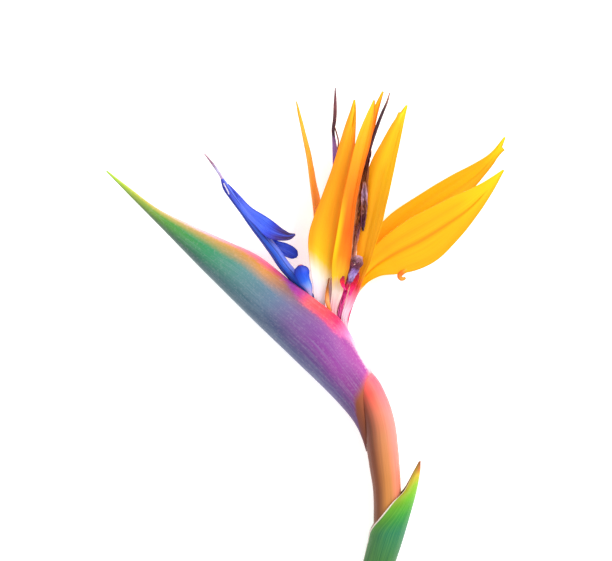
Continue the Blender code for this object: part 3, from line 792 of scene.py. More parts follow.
sepals = {
    # x, y, height, left half-width, right half-width, roll, cup, from the claw to the tip
    "sepal_1_near": [
        (6.8, 42.9, 2.4, 2.4, 2.2, 0, 0.3), (7.3, 51.5, 4.2, 3.8, 4, -5, 0.8),
        (7.6, 61.5, 5.8, 5.9, 6.4, -8, 1.3), (9, 74, 7.6, 8.3, 7.4, -10, 1.5),
        (13.3, 92.5, 9.6, 6.6, 7.8, -9, 1.4), (18, 110.5, 10.8, 4.8, 5.6, -7, 1.1),
        (21.6, 127, 11.8, 3.4, 2.9, -5, 0.9), (23.6, 137.5, 12, 1.9, 1.2, 0, 0.5),
        (24, 143.6, 12, 0.45, 0.45, 0, 0.1),
    ],
    "sepal_1_far": [
        (6, 42.6, -2.5, 1.3, 1.3, -10, 0.2), (5.8, 56, -3.6, 3.8, 3.6, -50, 0.8),
        (5.3, 72, -3.3, 6.4, 6.1, -70, 1.2), (4.8, 87, -3, 7.2, 7.2, -72, 1.6),
        (3, 100, -2.2, 6, 6, -74, 1.3), (0.9, 115, -1, 4, 4, -74, 0.9),
        (-1.9, 129.5, 0.2, 2.4, 2.4, -70, 0.5), (-4.9, 143.5, 1.4, 0.45, 0.45, -60, 0.1),
    ],
    "sepal_1_median": [
        (9, 42.6, -0.6, 1.1, 1.1, 60, 0.2), (11.2, 55, -3.6, 2.6, 2.6, 25, 0.8),
        (13.4, 70, -6.9, 3.6, 3.7, 8, 1.4), (15.2, 88, -8.2, 4.4, 4.6, 2, 1.6),
        (18.2, 105, -8, 3.8, 3.8, 0, 1.3), (21.6, 120, -6.8, 2.2, 2.2, 0, 0.8),
        (23.8, 129, -5.8, 0.45, 0.45, 0, 0.1),
    ],
    "sepal_3_near": [
        (13.6, 38.6, 2.5, 1.6, 1.8, 0, 0.3), (15.4, 48, 5.2, 2.5, 2.7, 4, 0.7),
        (17.4, 62, 9, 4.4, 4.5, 6, 1.2), (20, 77, 12, 4.6, 3.3, 6, 1.4),
        (22.8, 94, 13.8, 4.6, 2.3, 4, 1.4), (25.8, 109.5, 14.4, 4.2, 2.6, 2, 1.3),
        (29, 124, 14.4, 3.7, 3.2, 0, 1.1), (32, 135.5, 14.2, 2.2, 2, 0, 0.6),
        (33.7, 143.2, 14, 0.45, 0.45, 0, 0.1),
    ],
    "sepal_3_median": [
        (15.9, 38.3, 0, 1.1, 1.1, 60, 0.2), (17.8, 50, 0.8, 2.4, 2.4, 25, 0.8),
        (19.2, 64, 2, 3.6, 3.6, 8, 1.2), (21.4, 81, 3.6, 4, 4, 0, 1.4),
        (24.4, 99, 5.2, 4.2, 4.2, 0, 1.4), (28, 116, 7, 3.6, 3.6, 0, 1.2),
        (32.2, 131, 8.8, 2.2, 2.2, 0, 0.8), (35, 139.5, 9.6, 1.4, 1.4, 0, 0.4),
        (38.2, 147.8, 10.2, 0.45, 0.45, 0, 0.1),
    ],
    "sepal_3_far": [
        (13.6, 38.3, -2.5, 1.3, 1.3, -10, 0.2), (16.2, 50, -4.6, 2.6, 2.6, -4, 0.8),
        (20.4, 66, -6, 3.6, 3.6, 0, 1.2), (26, 82, -6.2, 4, 4, 0, 1.4),
        (32, 96, -5.4, 3.2, 3.2, 0, 1.1), (37.6, 108.5, -4, 0.45, 0.45, 0, 0.1),
    ],
    "sepal_2_near": [
        (19, 35.5, 2.5, 1.3, 1.6, 0, 0.3), (22.1, 44, 4.4, 1.9, 2.1, 4, 0.6),
        (25.4, 53.5, 6.2, 2.3, 2.6, 10, 0.8), (28.4, 63.5, 7.2, 3.4, 4, 20, 0.8),
        (30.8, 74, 8.6, 5.4, 5.2, 26, 1), (33.2, 85, 9.8, 6, 6.2, 28, 1.1),
        (36, 97, 10.6, 7.4, 6.2, 28, 1.1), (39.2, 109.5, 11, 8, 5.4, 24, 1.1),
        (42.6, 120.5, 11.4, 5.6, 3.8, 14, 1), (46.2, 131.5, 11.8, 3.2, 2.1, 0, 0.6),
        (50, 140.9, 11.5, 0.45, 0.45, 0, 0.1),
    ],
    "sepal_2_far": [
        (18.1, 35.2, -2.5, 1.2, 1.2, -10, 0.2), (21.6, 45, -4.6, 2.4, 2.4, -10, 0.6),
        (27.4, 56, -7.2, 4.6, 4.6, -8, 1.2), (36.6, 66.8, -9.8, 9, 6.4, -4, 1.9),
        (48.5, 78.6, -11.5, 10.6, 7.4, -2, 2.4), (62.5, 91, -12.1, 8.2, 7.8, 0, 2.4),
        (76.5, 100.6, -11.5, 7.2, 6.2, 0, 2), (87.2, 108.6, -10, 5.2, 3.2, 0, 1.2),
        (94.2, 116.4, -8, 2.4, 2.2, 0, 0.6), (99.9, 126, -5.4, 0.45, 0.45, 0, 0.1),
    ],
    "sepal_2_median": [
        (20.8, 35.3, 0, 1.4, 1.4, 50, 0.2), (22.8, 43, 0.2, 1.9, 1.8, 34, 0.6),
        (26.3, 52, 0.6, 3.2, 2.7, 16, 0.9), (33, 60, 1, 6.3, 5.6, 8, 1.6),
        (44, 67.5, 1.8, 9.5, 11.3, 4, 2.4), (57, 74, 2.6, 12, 12.9, 2, 2.9),
        (70, 82, 3.4, 11, 9.7, 0, 2.7), (82, 90.5, 4.6, 8.8, 5.2, 0, 1.9),
        (91, 100, 6.2, 4.2, 2.6, 0, 0.8), (98.3, 109, 7.6, 0.45, 0.45, 0, 0.1),
    ],
}

# the foot of each claw, down in the slit, where it grows out of its ovary
roots = {
    "sepal_1_near": (8, 35.5, 1.4, 1.7, 1.7, 0, 0.2),
    "sepal_1_far": (7.6, 35.5, -1.4, 1.2, 1.2, -10, 0.2),
    "sepal_1_median": (8.6, 36, 0.2, 1.1, 1.1, 40, 0.2),
    "sepal_3_near": (14.4, 32, 1.2, 1.3, 1.3, 0, 0.2),
    "sepal_3_median": (15, 32, 0, 1.1, 1.1, 50, 0.2),
    "sepal_3_far": (14, 32, -1.4, 1.1, 1.1, -10, 0.2),
    "sepal_2_near": (19.2, 28.8, 1, 1.2, 1.4, 0, 0.2),
    "sepal_2_far": (18.8, 29, -1.4, 1.1, 1.1, -10, 0.2),
    "sepal_2_median": (19.6, 29, 0.2, 1.3, 1.3, 40, 0.2),
    "witheredArrow": (16, 32, 0.8, 0.8, 0.8, 0, 0.2),
    "bract": (13.8, 32.6, 1.4, 0.7, 0.5, 0, -0.1),
    "hood": (3.2, 43, 0.6, 0.9, 0.9, 0, -0.2),
}

# creases run along a sepal: where across it, how deep and how wide in shares, from and to along it
creases = {
    "sepal_1_near": [(0.45, 0.5, 0.10, 0.74, 0.99)],
    "sepal_3_near": [(0.3, 0.3, 0.14, 0.4, 0.97)],
    "sepal_3_median": [(0, 0.3, 0.2, 0.3, 0.95)],
    "sepal_2_near": [(-0.2, 0.4, 0.25, 0.15, 0.75)],
    "sepal_2_far": [(0.1, 0.5, 0.12, 0.2, 0.95), (-0.45, 0.25, 0.12, 0.3, 0.8)],
    "sepal_2_median": [(0.02, 0.9, 0.09, 0.12, 0.9), (-0.5, 0.25, 0.14, 0.2, 0.8)],
    "sepal_1_far": [(0, 0.4, 0.15, 0.2, 0.95)],
}

# a side point beside the tip: which side, where along, how far it stands out and how long it is
spurs = {
    "sepal_2_far": (1, 0.955, 1.9, 0.05),
    "sepal_2_near": (-1, 0.955, 0.9, 0.04),
}

# colours of each sepal: the claw, what follows it up to the tip, and the tones of its two margins; these
# margin tones are painted light, a deeper orange being painted shade on a side turned from the light or
# lying under a neighbour and a brighter tone a painted highlight; the fold tone is painted into the
# creases, as painted shade where it is deeper orange than the body
sepalLooks = {
    "sepal_1_near": {
        "body": [(0.04, "ffecf6"), (0.13, "fff0e2"), (0.21, "ffce28"), (0.25, "ffbe00"),
                 (0.4, "ffa800"), (0.62, "ffa200"), (0.85, "ffac00"), (1.0, "ffd200")],
        # the deep orange of its right margin is a painted shadow, cast by sepal_3_near which lies over it
        "left": ("ff8600", 0.6), "right": ("ff8200", 0.8), "fold": "ffd200", "slant": 0.055,
    },
    "sepal_1_far": {
        "body": [(0.08, "ffece6"), (0.22, "ffbe14"), (0.4, "ffa000"), (0.96, "ffb400")],
        "left": ("ff9600", 0.6), "right": ("ffa000", 0.5), "fold": "ff9600",
    },
    "sepal_1_median": {
        "body": [(0.1, "fff0e6"), (0.25, "ffb400"), (0.9, "ff8c00")],
        "left": ("fa6e00", 0.5), "right": ("fa6e00", 0.5), "fold": "ff8200",
    },
    "sepal_3_near": {
        "body": [(0.03, "ffc4ce"), (0.1, "ffecdc"), (0.17, "ffcc28"), (0.27, "ff8c00"),
                 (0.38, "ff7000"), (0.55, "ff7c00"), (0.72, "ff9e00"), (1.0, "ffc800")],
        # its bright yellow left margin is a painted highlight along the fold of its lower part; leftEnd
        # fades it out above
        "left": ("ffc800", 1.0), "right": ("ff7000", 0.9), "fold": "ff6c00",
        "leftEnd": (0.62, 0.36),
    },
    "sepal_3_median": {
        "body": [(0.1, "ffc4c4"), (0.25, "ff8c00"), (0.7, "ff8c00"), (1.0, "ffc400")],
        "left": ("ffa600", 0.5), "right": ("ff7800", 0.7), "fold": "ff7e00",
    },
    "sepal_3_far": {
        "body": [(0.1, "ffe2e2"), (0.25, "ffa000"), (0.9, "ff9600")],
        "left": ("fa6e00", 0.5), "right": ("fa6e00", 0.5), "fold": "ff8200",
    },
    "sepal_2_near": {
        "body": [(0.04, "ffd6ea"), (0.1, "ff8cb0"), (0.16, "f03c46"), (0.2, "ff9614"), (0.3, "ffac00"),
                 (0.5, "ffb200"), (0.7, "ffc200"), (0.9, "ffbe00"), (1.0, "ffe814")],
        "left": ("ff9600", 0.7), "right": ("ffac00", 0.4), "fold": "ffa000",
    },
    "sepal_2_far": {
        "body": [(0.08, "ffecf0"), (0.16, "ffb000"), (0.45, "ffb600"),
                 (0.85, "ffb200"), (1.0, "ffe60a")],
        "left": ("ffaa00", 0.6), "right": ("ff9600", 0.6), "fold": "ff9400",
    },
    "sepal_2_median": {
        "body": [(0.05, "fff4fa"), (0.13, "ffeedc"), (0.17, "ffce14"),
                 (0.35, "ffb200"), (0.7, "ffb800"), (1.0, "ffdc0a")],
        "left": ("ffb800", 0.3), "right": ("ffa600", 0.6), "fold": "f47a00",
        "clawEdge": "ff4696",
    },
}


def sepalSkin(name):
    look = sepalLooks[name]
    newFinish(name.replace("_", "") + "Skin")
    along, across = field("along"), field("across")
    fold = field("fold")
    seed = float(sorted(sepalLooks).index(name))
    wander = streaks(along, across, 2.0, 5.0, seed, 2.0)
    at = calc("MULTIPLY_ADD", calc("SUBTRACT", wander, 0.5), 0.06, along)
    at = calc("MULTIPLY_ADD", across, look.get("slant", 0.0), at)
    colour = ramp(at, look["body"])
    past = rise(along, 0.12, 0.3)
    leftTone, leftShare = look["left"]
    rightTone, rightShare = look["right"]
    leftFrom, leftTo = look.get("leftEnd", (1.3, 1.2))
    # the margin tones are painted light: deeper orange is painted shade on a side turned from the light, a
    # brighter tone a painted highlight
    left = times(rise(across, -0.3, -0.9), times(past, leftShare))
    left = times(left, rise(along, leftFrom, leftTo))
    right = times(rise(across, 0.4, 0.98), times(past, rightShare))
    colour = blend(left, colour, leftTone)
    colour = blend(right, colour, rightTone)
    if "clawEdge" in look:
        edge = times(rise(across, 0.45, 0.95), rise(along, 0.15, 0.09))
        colour = blend(edge, colour, look["clawEdge"])
    # painted shade in the creases: the fold tone is deeper orange than the body on all but sepal_1_near,
    # whose crease near the tip takes the tip's yellow
    colour = blend(times(fold, 0.75), colour, look["fold"])
    fine = streaks(along, across, 30.0, 3.0, seed)
    colour = blend(times(rise(fine, 0.5, 0.25), times(
        past, 0.22)), colour, "fa7000")
    colour = blend(times(rise(fine, 0.5, 0.75), 0.15), colour, "ffd228")
    return finished(colour, 0.42, 0.26, height=fine, relief=0.0004, strength=0.35)


def bladeGrid(name, rows, steps=flower["leafSteps"], columns=flower["leafAcross"]):
    root = [roots[name]] if name in roots else []
    table = through(root + rows, steps)
    route = table[:, :3] + [0.0, 0.0, flower["middle"]]
    right, up = sideAndUp(route, table[:, 5])
    along = alongRoute(route)
    if root:
        # 0 where the claw begins, and less inside the spathe
        along = (along - along[steps]) / (1 - along[steps])
    share = np.linspace(-1.0, 1.0, columns + 1)
    width = np.where(share[None, :] > 0, table[:, 4:5], table[:, 3:4])
    if name in spurs:
        side, at, reach, length = spurs[name]
        spike = np.clip((along - at + length) / length, 0.0, 1.0) ** 2 * (along <= at)
        width = width + reach * spike[:, None] * (share[None, :] * side > 0)
    lift = table[:, 6:7] * np.abs(share) ** flower["cupPower"]
    crease = np.zeros_like(width)
    for where, deep, wide, start, end in creases.get(name, []):
        ends = ease(along, start, start + flower["creaseEnd"]) * ease(along, end, end - flower["creaseEnd"])
        crease += deep * ends[:, None] * np.exp(-((share[None, :] - where) / wide) ** 2)
    lift = lift - crease * flower["creaseDepth"]
    points = route[:, None, :] + right[:, None, :] * (share * width)[:, :, None]
    points = points + up[:, None, :] * lift[:, :, None]
    breadth = np.clip((table[:, 3] + table[:, 4]) / 2 / flower["fullBreadth"], 0.1, 1.0)
    fields = {
        "along": np.repeat(along, len(share)),
        "across": np.tile(share, len(table)),
        "fold": np.clip(crease, 0.0, 1.0),
        "breadth": np.repeat(breadth, len(share)),
    }
    return gridObject(name + "Grid", inFrame(points), fields)


def plainName(name):
    words = name.split("_")
    return words[0] + "".join(word.capitalize() for word in words[1:])


def makeSepals():
    for number, (name, rows) in enumerate(sepals.items()):
        piece = grow(plainName(name), bladeGrid(name, rows), petalFlesh,
            thickness=0.0008, thinMargin=0.3, veins=20.0, veinHeight=0.00004,
            wave=0.0007, waves=6.0, seed=float(number), material=sepalSkin(name))
        keep(piece, "sepal", name)


makeSepals()
print("sepals made")


# the torn strip that curls back from the lowest edge of the widest sepal
sepalCurl = {
    "rows": [
        (50.6, 59.6, 3.6, 1), (48.8, 58.6, 4, 1.3), (47.2, 57.5, 4.2, 1.35), (46.5, 56.1, 4.2, 1.25),
        (47.2, 54.9, 4, 1.15), (48.5, 54.8, 3.8, 1), (49.6, 55.4, 3.8, 0.6),
    ],
}


def curlSkin():
    newFinish("curlSkin")
    along = field("along")
    colour = ramp(along, [(0.0, "ffb400"), (0.4, "ec6e14"), (0.8, "ff9614")])
    grain = streaks(along, field("side"), 8.0, 6.0)
    colour = over(colour, "ce540a", grain, 0.5, 0.75, 0.4)
    return finished(colour, 0.45, height=grain)


keep(grow("sepalCurl", curveObject("curlLine", sepalCurl["rows"]), ribbedStem,
    sides=20, ribs=3.0, ribDepth=0.0002, roughness=0.0003, grain=900.0,
    material=curlSkin()), "sepal")


# the fresh arrow: two blue petals joined round the style

freshArrow = {
    # x, y, height, radius
    "shaft": [
        (4.2, 43.4, 0, 1.5), (0.2, 48.4, 0.4, 2.3), (-5.4, 55.2, 0.8, 2.8), (-10.7, 61.3, 1.2, 2.9),
        (-15.7, 68.5, 1.8, 2.8), (-20.9, 75.2, 2.4, 2.5), (-26.2, 81.9, 3, 2.3), (-31.4, 88.9, 3.8, 2),
        (-36.6, 95.8, 4.4, 1.9), (-39.8, 100.4, 4.9, 1.8), (-41.8, 104.6, 5.3, 0.9),
    ],
    # the wings stand out from the shaft and end in the barbs
    "wings": {
        "near": [
            (-39.2, 101.6, 5.4, 0.8, 1, 0, 0.1), (-34, 95, 5.2, 1.7, 1.8, 0, 0.3),
            (-29, 88.5, 4.8, 2.7, 2.4, 4, 0.5), (-23, 82.8, 4.8, 4.3, 3, 8, 0.8),
            (-17, 78.4, 5.4, 4.4, 4, 12, 0.9), (-12, 76.6, 6.2, 2.9, 3.2, 14, 0.7),
            (-8.2, 76.1, 7, 1.6, 1.9, 14, 0.4), (-5.3, 76.9, 7.4, 0.45, 0.45, 14, 0.1),
        ],
        "far": [
            (-26, 81.4, 2.4, 1, 1, 0, 0.1), (-20, 76, 1, 1.4, 1.6, -4, 0.3),
            (-15.6, 72.4, -0.4, 2, 2.4, -8, 0.5), (-10, 69.3, -1.6, 3.3, 3, -10, 0.5),
            (-7.2, 67.8, -2.2, 3.1, 2.9, -10, 0.4), (-5.3, 66.7, -2.4, 2.2, 2.1, -10, 0.3),
            (-4.3, 66.1, -2.5, 0.7, 0.7, -10, 0.1),
        ],
    },
    "furrows": 6.0,
    "furrowDepth": 0.0006,
}


def arrowSkin(name, stops, dark, pale):
    newFinish(name)
    along = field("along")
    edge = field("edge")
    colour = ramp(along, stops)
    # painted shade in the shaft's furrows: the grooves darken to near-black blue
    colour = blend(times(field("groove"), 0.9), colour, "000646")
    # on the shaft, edge grows towards the side turned from the light, so dark is painted shade there and
    # pale a painted highlight on the side towards the light; on the wings the two darken the margins and
    # lighten the middle
    colour = over(colour, dark, edge, 0.45, 1.0, 0.75)
    colour = over(colour, pale, edge, 0.1, -0.9, 0.8)
    lines = streaks(along, edge, 16.0, 3.0, 4.0)
    colour = over(colour, "8092ff", lines, 0.5, 0.75, 0.35)
    colour = over(colour, "001884", lines, 0.5, 0.25, 0.4)
    return finished(colour, 0.32, 0.45, height=lines, relief=0.0004, strength=0.4)


def storeFrom(piece, name, rule):
    # a new field worked out from two that the piece has
    fields = []
    for source in ("along", "side" if "side" in piece.data.attributes else "across"):
        values = np.zeros(len(piece.data.vertices), np.float32)
        piece.data.attributes[source].data.foreach_get("value", values)
        fields.append(values)
    storeField(piece.data, name, rule(*fields))


def makeFreshArrow():
    shaftSkin = arrowSkin("arrowShaftSkin", [
        (0.0, "5468f0"), (0.15, "0a54ce"), (0.4, "1456d2"), (0.75, "3c60e4"),
        (0.96, "3c3cc8")], "062896", "6884f8")
    shaft = grow("arrowShaft", curveObject("shaftLine", freshArrow["shaft"]), ribbedStem,
        sides=72, ribs=freshArrow["furrows"], ribDepth=freshArrow["furrowDepth"],
        ribSharpness=14.0, ribTurn=0.03, material=shaftSkin)
    # edge grows towards the shaft's side turned from the light, where arrowSkin paints shade; the side
    # towards the light takes its painted highlight
    storeFrom(shaft, "edge", lambda along, side: -side)
    keep(shaft, "blue_petal", "arrow_1")
    wingStops = {
        "near": [(0.0, "464cd6"), (0.3, "546cf0"), (0.6, "3860ee"), (0.7, "2438ce"),
                 (0.8, "32107c"), (0.9, "38003c")],
        "far": [(0.0, "3c60ec"), (0.5, "2450e2"), (0.9, "1032c8")],
    }
    for which, rows in freshArrow["wings"].items():
        skin = arrowSkin(which + "WingSkin", wingStops[which], "141496", "2c54e8")
        wing = grow(which + "Wing", bladeGrid(which + "Wing", rows, steps=14, columns=30), petalFlesh,
            thickness=0.0009, thinMargin=0.45, veins=8.0, veinHeight=0.00006,
            wave=0.0006, waves=4.0, seed=21.0, material=skin)
        storeFrom(wing, "edge", lambda along, across: np.abs(across) * 1.4 - 0.6)
        keep(wing, "blue_petal", "arrow_1")


makeFreshArrow()
print("fresh arrow made")


# the pollen shows as a pale line in the mouth of the arrow's tip
pollen = {
    "rows": [(-40.9, 102.2, 6.8, 0.25), (-39.8, 100.2, 7, 0.3), (-38.9, 98.4, 6.9, 0.3),
        (-38.3, 97, 6.7, 0.2)],
    "grains": 220,
    "grainRadius": 0.00011,
}


def pollenTree():
    given = newTree("pollenGrains", {
        "Count": 100, "Grain Radius": 0.0002, "Scatter": 0.0003, "Seed": 5, "Material": None,
    })
    points = add("GeometryNodeCurveToPoints", {"Curve": given["Geometry"],
        "Count": given["Count"]}).outputs[0]
    reach = {0: (-1.0, -1.0, -0.4), 1: (1.0, 1.0, 0.4), "Seed": given["Seed"]}
    loose = add("FunctionNodeRandomValue", reach, data_type="FLOAT_VECTOR").outputs[0]
    points = shifted(points, loose, given["Scatter"])
    ball = {"Radius": given["Grain Radius"], "Subdivisions": 2}
    grain = add("GeometryNodeMeshIcoSphere", ball).outputs[0]
    return closeTree(onPoints(points, grain, randomSize(0.7, 1.3, given["Seed"])), given["Material"])


def pollenSkin():
    newFinish("pollenSkin")
    grain = noise(objectSpot(), 1500.0)
    return finished(blend(grain, "e2d6e6", "fffaf6"), 0.7)


keep(grow("pollenGrains", curveObject("pollenLine", pollen["rows"]), pollenTree(),
    count=pollen["grains"], grainRadius=pollen["grainRadius"], scatter=0.00022,
    material=pollenSkin()), "style")


# styles

styles = {
    # x, y, height, radius, from the arrow's tip outwards, then the colours along it
    "style_1": {
        "rows": [
            (-41.2, 103.4, 5.2, 0.8), (-42.4, 106, 5.4, 0.8), (-44.8, 109.8, 5.8, 0.8),
            (-47.8, 113.8, 6.2, 0.6), (-50.6, 117.2, 6.6, 0.3),
        ],
        "tones": [(0.0, "c496c4"), (0.35, "cec4f0"), (0.65, "a06e8c"), (1.0, "cea0b0")],
    },
    "style_2": {
        "rows": [
            (31.2, 116.8, 11.7, 0.7), (32, 120.2, 12.2, 0.8), (34.8, 129, 12.8, 0.9),
            (38, 137.4, 13.6, 0.8),
            (40, 142, 14, 0.6), (41.5, 147, 14.4, 0.3),
        ],
        "tones": [(0.0, "4a141e"), (0.4, "3c0e28"), (0.72, "381824"), (0.84, "8c5a50"), (1.0, "ce8c6e")],
    },
    "style_3": {
        "rows": [(13.8, 125.6, 2.9, 0.8), (13.6, 128.8, 3.1, 0.9), (14.3, 134, 3.4, 1),
            (14.6, 142, 3.8, 0.9), (14.6, 150, 4.2, 0.3)],
        "tones": [(0.0, "320c2c"), (0.3, "4c1e2c"), (0.6, "783a42"), (1.0, "784250")],
    },
}


def driedSkin(name, tones, lines=6.0, roughness=0.55, grainTone="280a18", grainShare=0.5, sideways="side"):
    newFinish(name)
    along = field("along")
    across = field(sideways)
    colour = ramp(along, tones)
    grain = streaks(along, across, lines, 9.0)
    colour = over(colour, grainTone, grain, 0.52, 0.3, grainShare)
    colour = over(colour, "ecd6d6", grain, 0.55, 0.8, 0.3)
    return finished(colour, roughness, height=grain)


def makeStyles():
    for name, style in styles.items():
        piece = grow(plainName(name), curveObject(name + "Line", style["rows"], 14), ribbedStem,
            sides=24, ribs=3.0, ribDepth=0.00012, ribSharpness=3.0,
            roughness=0.0002, grain=900.0, seed=2.0,
            material=driedSkin(plainName(name) + "Skin", style["tones"]))
        keep(piece, "style", name)


makeStyles()
print("styles made")


# the withered arrow and its curled remains

withered = {
    "rows": [
        (16.9, 37.6, 2, 0.9, 0.9, 0, 0.2), (18.8, 46, 4, 1.1, 1.1, 0, 0.3),
        (21.4, 55, 5.8, 1.2, 1.2, 0, 0.4), (23.3, 66, 7.6, 1.3, 1.3, 0, 0.4),
        (24.6, 76, 8.6, 1.7, 1.5, 0, 0.6), (26.3, 85, 9.4, 2.4, 2.4, 0, 0.8),
        (27.7, 95, 9.8, 2.8, 2.9, 0, 0.8), (28.7, 104, 10.4, 2.1, 2.2, 0, 0.6),
        (30.2, 112, 11.2, 1.3, 1.3, 0, 0.4), (31.7, 118.8, 12, 0.7, 0.7, 0, 0.2),
    ],
    # a shrunken lobe that hangs down along the strip's right side
    "lobe": [
        (28.9, 103, 10.9, 0.6, 0.8, 0, 0.2), (29, 96, 11, 1.3, 1.6, 10, 0.6),
        (28.8, 89, 10.7, 1.3, 1.7, 14, 0.7),
        (28.5, 83, 10.2, 0.9, 1.3, 10, 0.4), (28.3, 78.6, 9.8, 0.3, 0.3, 0, 0.1),
    ],
    # a crumpled tube that rolls over into a ring at its top
    "curl": [
        (20, 49.6, 7.6, 0.8), (21.4, 53, 9, 1.5), (22.7, 56, 10.1, 1.9), (24.2, 59, 10.9, 1.9),
        (25.6, 61.2, 11.6, 1.7), (27, 62.8, 12.4, 1.4), (27, 64.5, 13, 1.2), (25.5, 65.3, 13.5, 1),
        (24.2, 64.7, 13.4, 1.2), (24.3, 63.5, 13.2, 1.3), (25.3, 63.7, 13.3, 1.1), (26, 64.2, 13.2, 0.4),
    ],
}


def witheredSkin():
    newFinish("witheredSkin")
    along, across = field("along"), field("across")
    colour = ramp(along, [
        (0.0, "ff6ebe"), (0.14, "ff1e96"), (0.2, "ff006e"), (0.28, "ce82b4"),
        (0.38, "e29c78"), (0.55, "be7036"), (0.8, "aa6028"), (0.92, "6e2c22"),
        (1.0, "461428"),
    ])
    tear = streaks(along, across, 5.0, 7.0, 3.0, 3.0)
    dark = times(rise(tear, 0.45, 0.34), rise(along, 0.28, 0.45, 0.0, 0.7))
    colour = blend(dark, colour, "3e0c22")
    shade = times(rise(across, 0.1, 0.8), times(
        rise(along, 0.42, 0.52), rise(along, 0.66, 0.56)))
    colour = blend(times(shade, 0.6), colour, "5a2254")
    lilac = times(rise(tear, 0.56, 0.68), rise(along, 0.66, 0.5))
    colour = blend(times(lilac, 0.6), colour, "965aa0")
    fine = streaks(along, across, 22.0, 9.0)
    colour = over(colour, "ce783c", fine, 0.55, 0.8, 0.35)
    return finished(colour, 0.6, height=fine, relief=0.0006, strength=0.6)


def makeWithered():
    grid = bladeGrid("witheredArrow", withered["rows"], steps=18, columns=24)
    strip = grow("witheredArrow", grid, petalFlesh,
        thickness=0.0011, thinMargin=0.5, veins=5.0, veinHeight=0.00018, wave=0.0022,
        waves=16.0, crumple=0.0007, crumpleSize=420.0, seed=31.0, material=witheredSkin())
    keep(strip, "withered_petal", "arrow_2")
    grid = bladeGrid("witheredLobe", withered["lobe"], steps=18, columns=20)
    lobe = grow("witheredLobe", grid, petalFlesh,
        thickness=0.0009, thinMargin=0.5, veins=4.0, veinHeight=0.00025, wave=0.0016,
        waves=7.0, crumple=0.0008, crumpleSize=500.0, seed=12.0, material=driedSkin("lobeSkin", [
            (0.0, "a05a32"), (0.25, "be96b4"), (0.5, "96543c"), (0.8, "642442"),
            (1.0, "3c0e2c")], 4.0, 0.55, "3c1032", 0.5, "across"))
    keep(lobe, "withered_petal")
    curl = grow("witheredCurl", curveObject("remainsLine", withered["curl"], 16), ribbedStem,
        sides=36, ribs=4.0, ribDepth=0.0005, ribSharpness=3.0, roughness=0.0024,
        grain=520.0, seed=9.0, material=driedSkin("curlRemains", [
            (0.0, "ff146e"), (0.12, "ce003c"), (0.2, "823c78"), (0.3, "b096d6"),
            (0.44, "966ebe"), (0.52, "6e2850"), (0.64, "6e2c32"), (0.8, "ce96a0"),
            (0.9, "5a1828"), (1.0, "965a78")], 5.0, 0.45, "320632", 0.8))
    keep(curl, "withered_petal", "hood_2")


# shreds of the withered petals that cling to the claws on both sides of the remains
shreds = {
    "left": [
        (19.4, 49.2, 9.2, 0.3, 0.3, 0, 0.1), (18.4, 51.6, 9.6, 0.9, 0.8, -10, 0.3),
        (18, 54, 10.2, 1.2, 1.1, -10, 0.4),
        (18.6, 56.2, 10.8, 0.5, 0.5, 0, 0.1),
    ],
    "right": [
        (21.6, 46.6, 6.4, 0.4, 0.5, 0, 0.1), (23, 50.6, 7.6, 1.1, 1.2, 10, 0.3),
        (24.6, 54.4, 8.8, 1.4, 1.5, 12, 0.4),
        (26, 58, 9.8, 0.5, 0.6, 0, 0.1),
    ],
}


def makeShreds():
    skin = driedSkin("shredSkin", [
        (0.0, "ff50aa"), (0.3, "ff0a6e"), (0.6, "e80022"), (1.0, "a0143c")],
        3.0, 0.5, "b40032", 0.4, "across")
    for side, rows in shreds.items():
        name = side + "Shred"
        keep(grow(name, bladeGrid(name, rows, steps=14, columns=16), petalFlesh,
            thickness=0.0006, thinMargin=0.5, veins=3.0, veinHeight=0.0001, wave=0.0012,
            waves=6.0, crumple=0.0005, crumpleSize=600.0, seed=17.0, material=skin), "withered_petal")


makeWithered()
makeShreds()
print("withered arrow made")


# the purple arrow of the flower behind, the small hood, the dry bract

smallPieces = {
    "purpleArrow": [
        (11.7, 41.2, 1, 1), (12.6, 54, 1.8, 1.4), (13.6, 72, 1.6, 1.7), (15.4, 95, 2, 2),
        (15, 113, 2.4, 1.7), (13.6, 127.5, 3, 0.7),
    ],
    "hood": [
        (2.2, 47, 3.5, 0.9, 0.9, 0, -0.3), (1.2, 50.6, 6.2, 2, 1.9, 0, -0.6),
        (-0.7, 54.6, 8.4, 3.5, 2.6, 0, -1.4), (-2, 58.4, 9.4, 3.7, 3.5, 0, -1.8),
        (-2.6, 60.5, 9.1, 2.9, 2.7, 0, -1.4),
        (-2.9, 61.9, 8.6, 0.8, 0.8, 0, -0.4),
    ],
    "bract": [
        (12.8, 36, 3.5, 0.9, 0.6, 0, -0.1), (12, 39.6, 4.3, 1.2, 0.5, 0, -0.2),
        (10.9, 44, 5.4, 1.5, 0.8, 0, -0.3), (10.7, 49, 6.2, 0.9, 0.6, 0, -0.2),
        (11, 52.4, 6.7, 0.5, 0.4, 0, -0.1), (11.5, 55.2, 7, 0.3, 0.3, 0, 0),
    ],
    # a dried thread beside the back style
    "thread": [(15.4, 118, 2.9, 0.3), (16.2, 123, 3.3, 0.35), (15.2, 127.6, 3.4, 0.35),
        (14.2, 131, 3.9, 0.3)],
}


def bladeSkin(name, tones, lines, streakTone, roughness=0.45):
    newFinish(name)
    along, across = field("along"), field("across")
    colour = ramp(along, tones)
    fine = streaks(along, across, lines, 4.0)
    colour = over(colour, streakTone, fine, 0.5, 0.25, 0.5)
    colour = blend(rise(calc("ABSOLUTE", across), 0.5, 1.0, 0.0, 0.5), colour, streakTone)
    return finished(colour, roughness, height=fine, relief=0.0004)


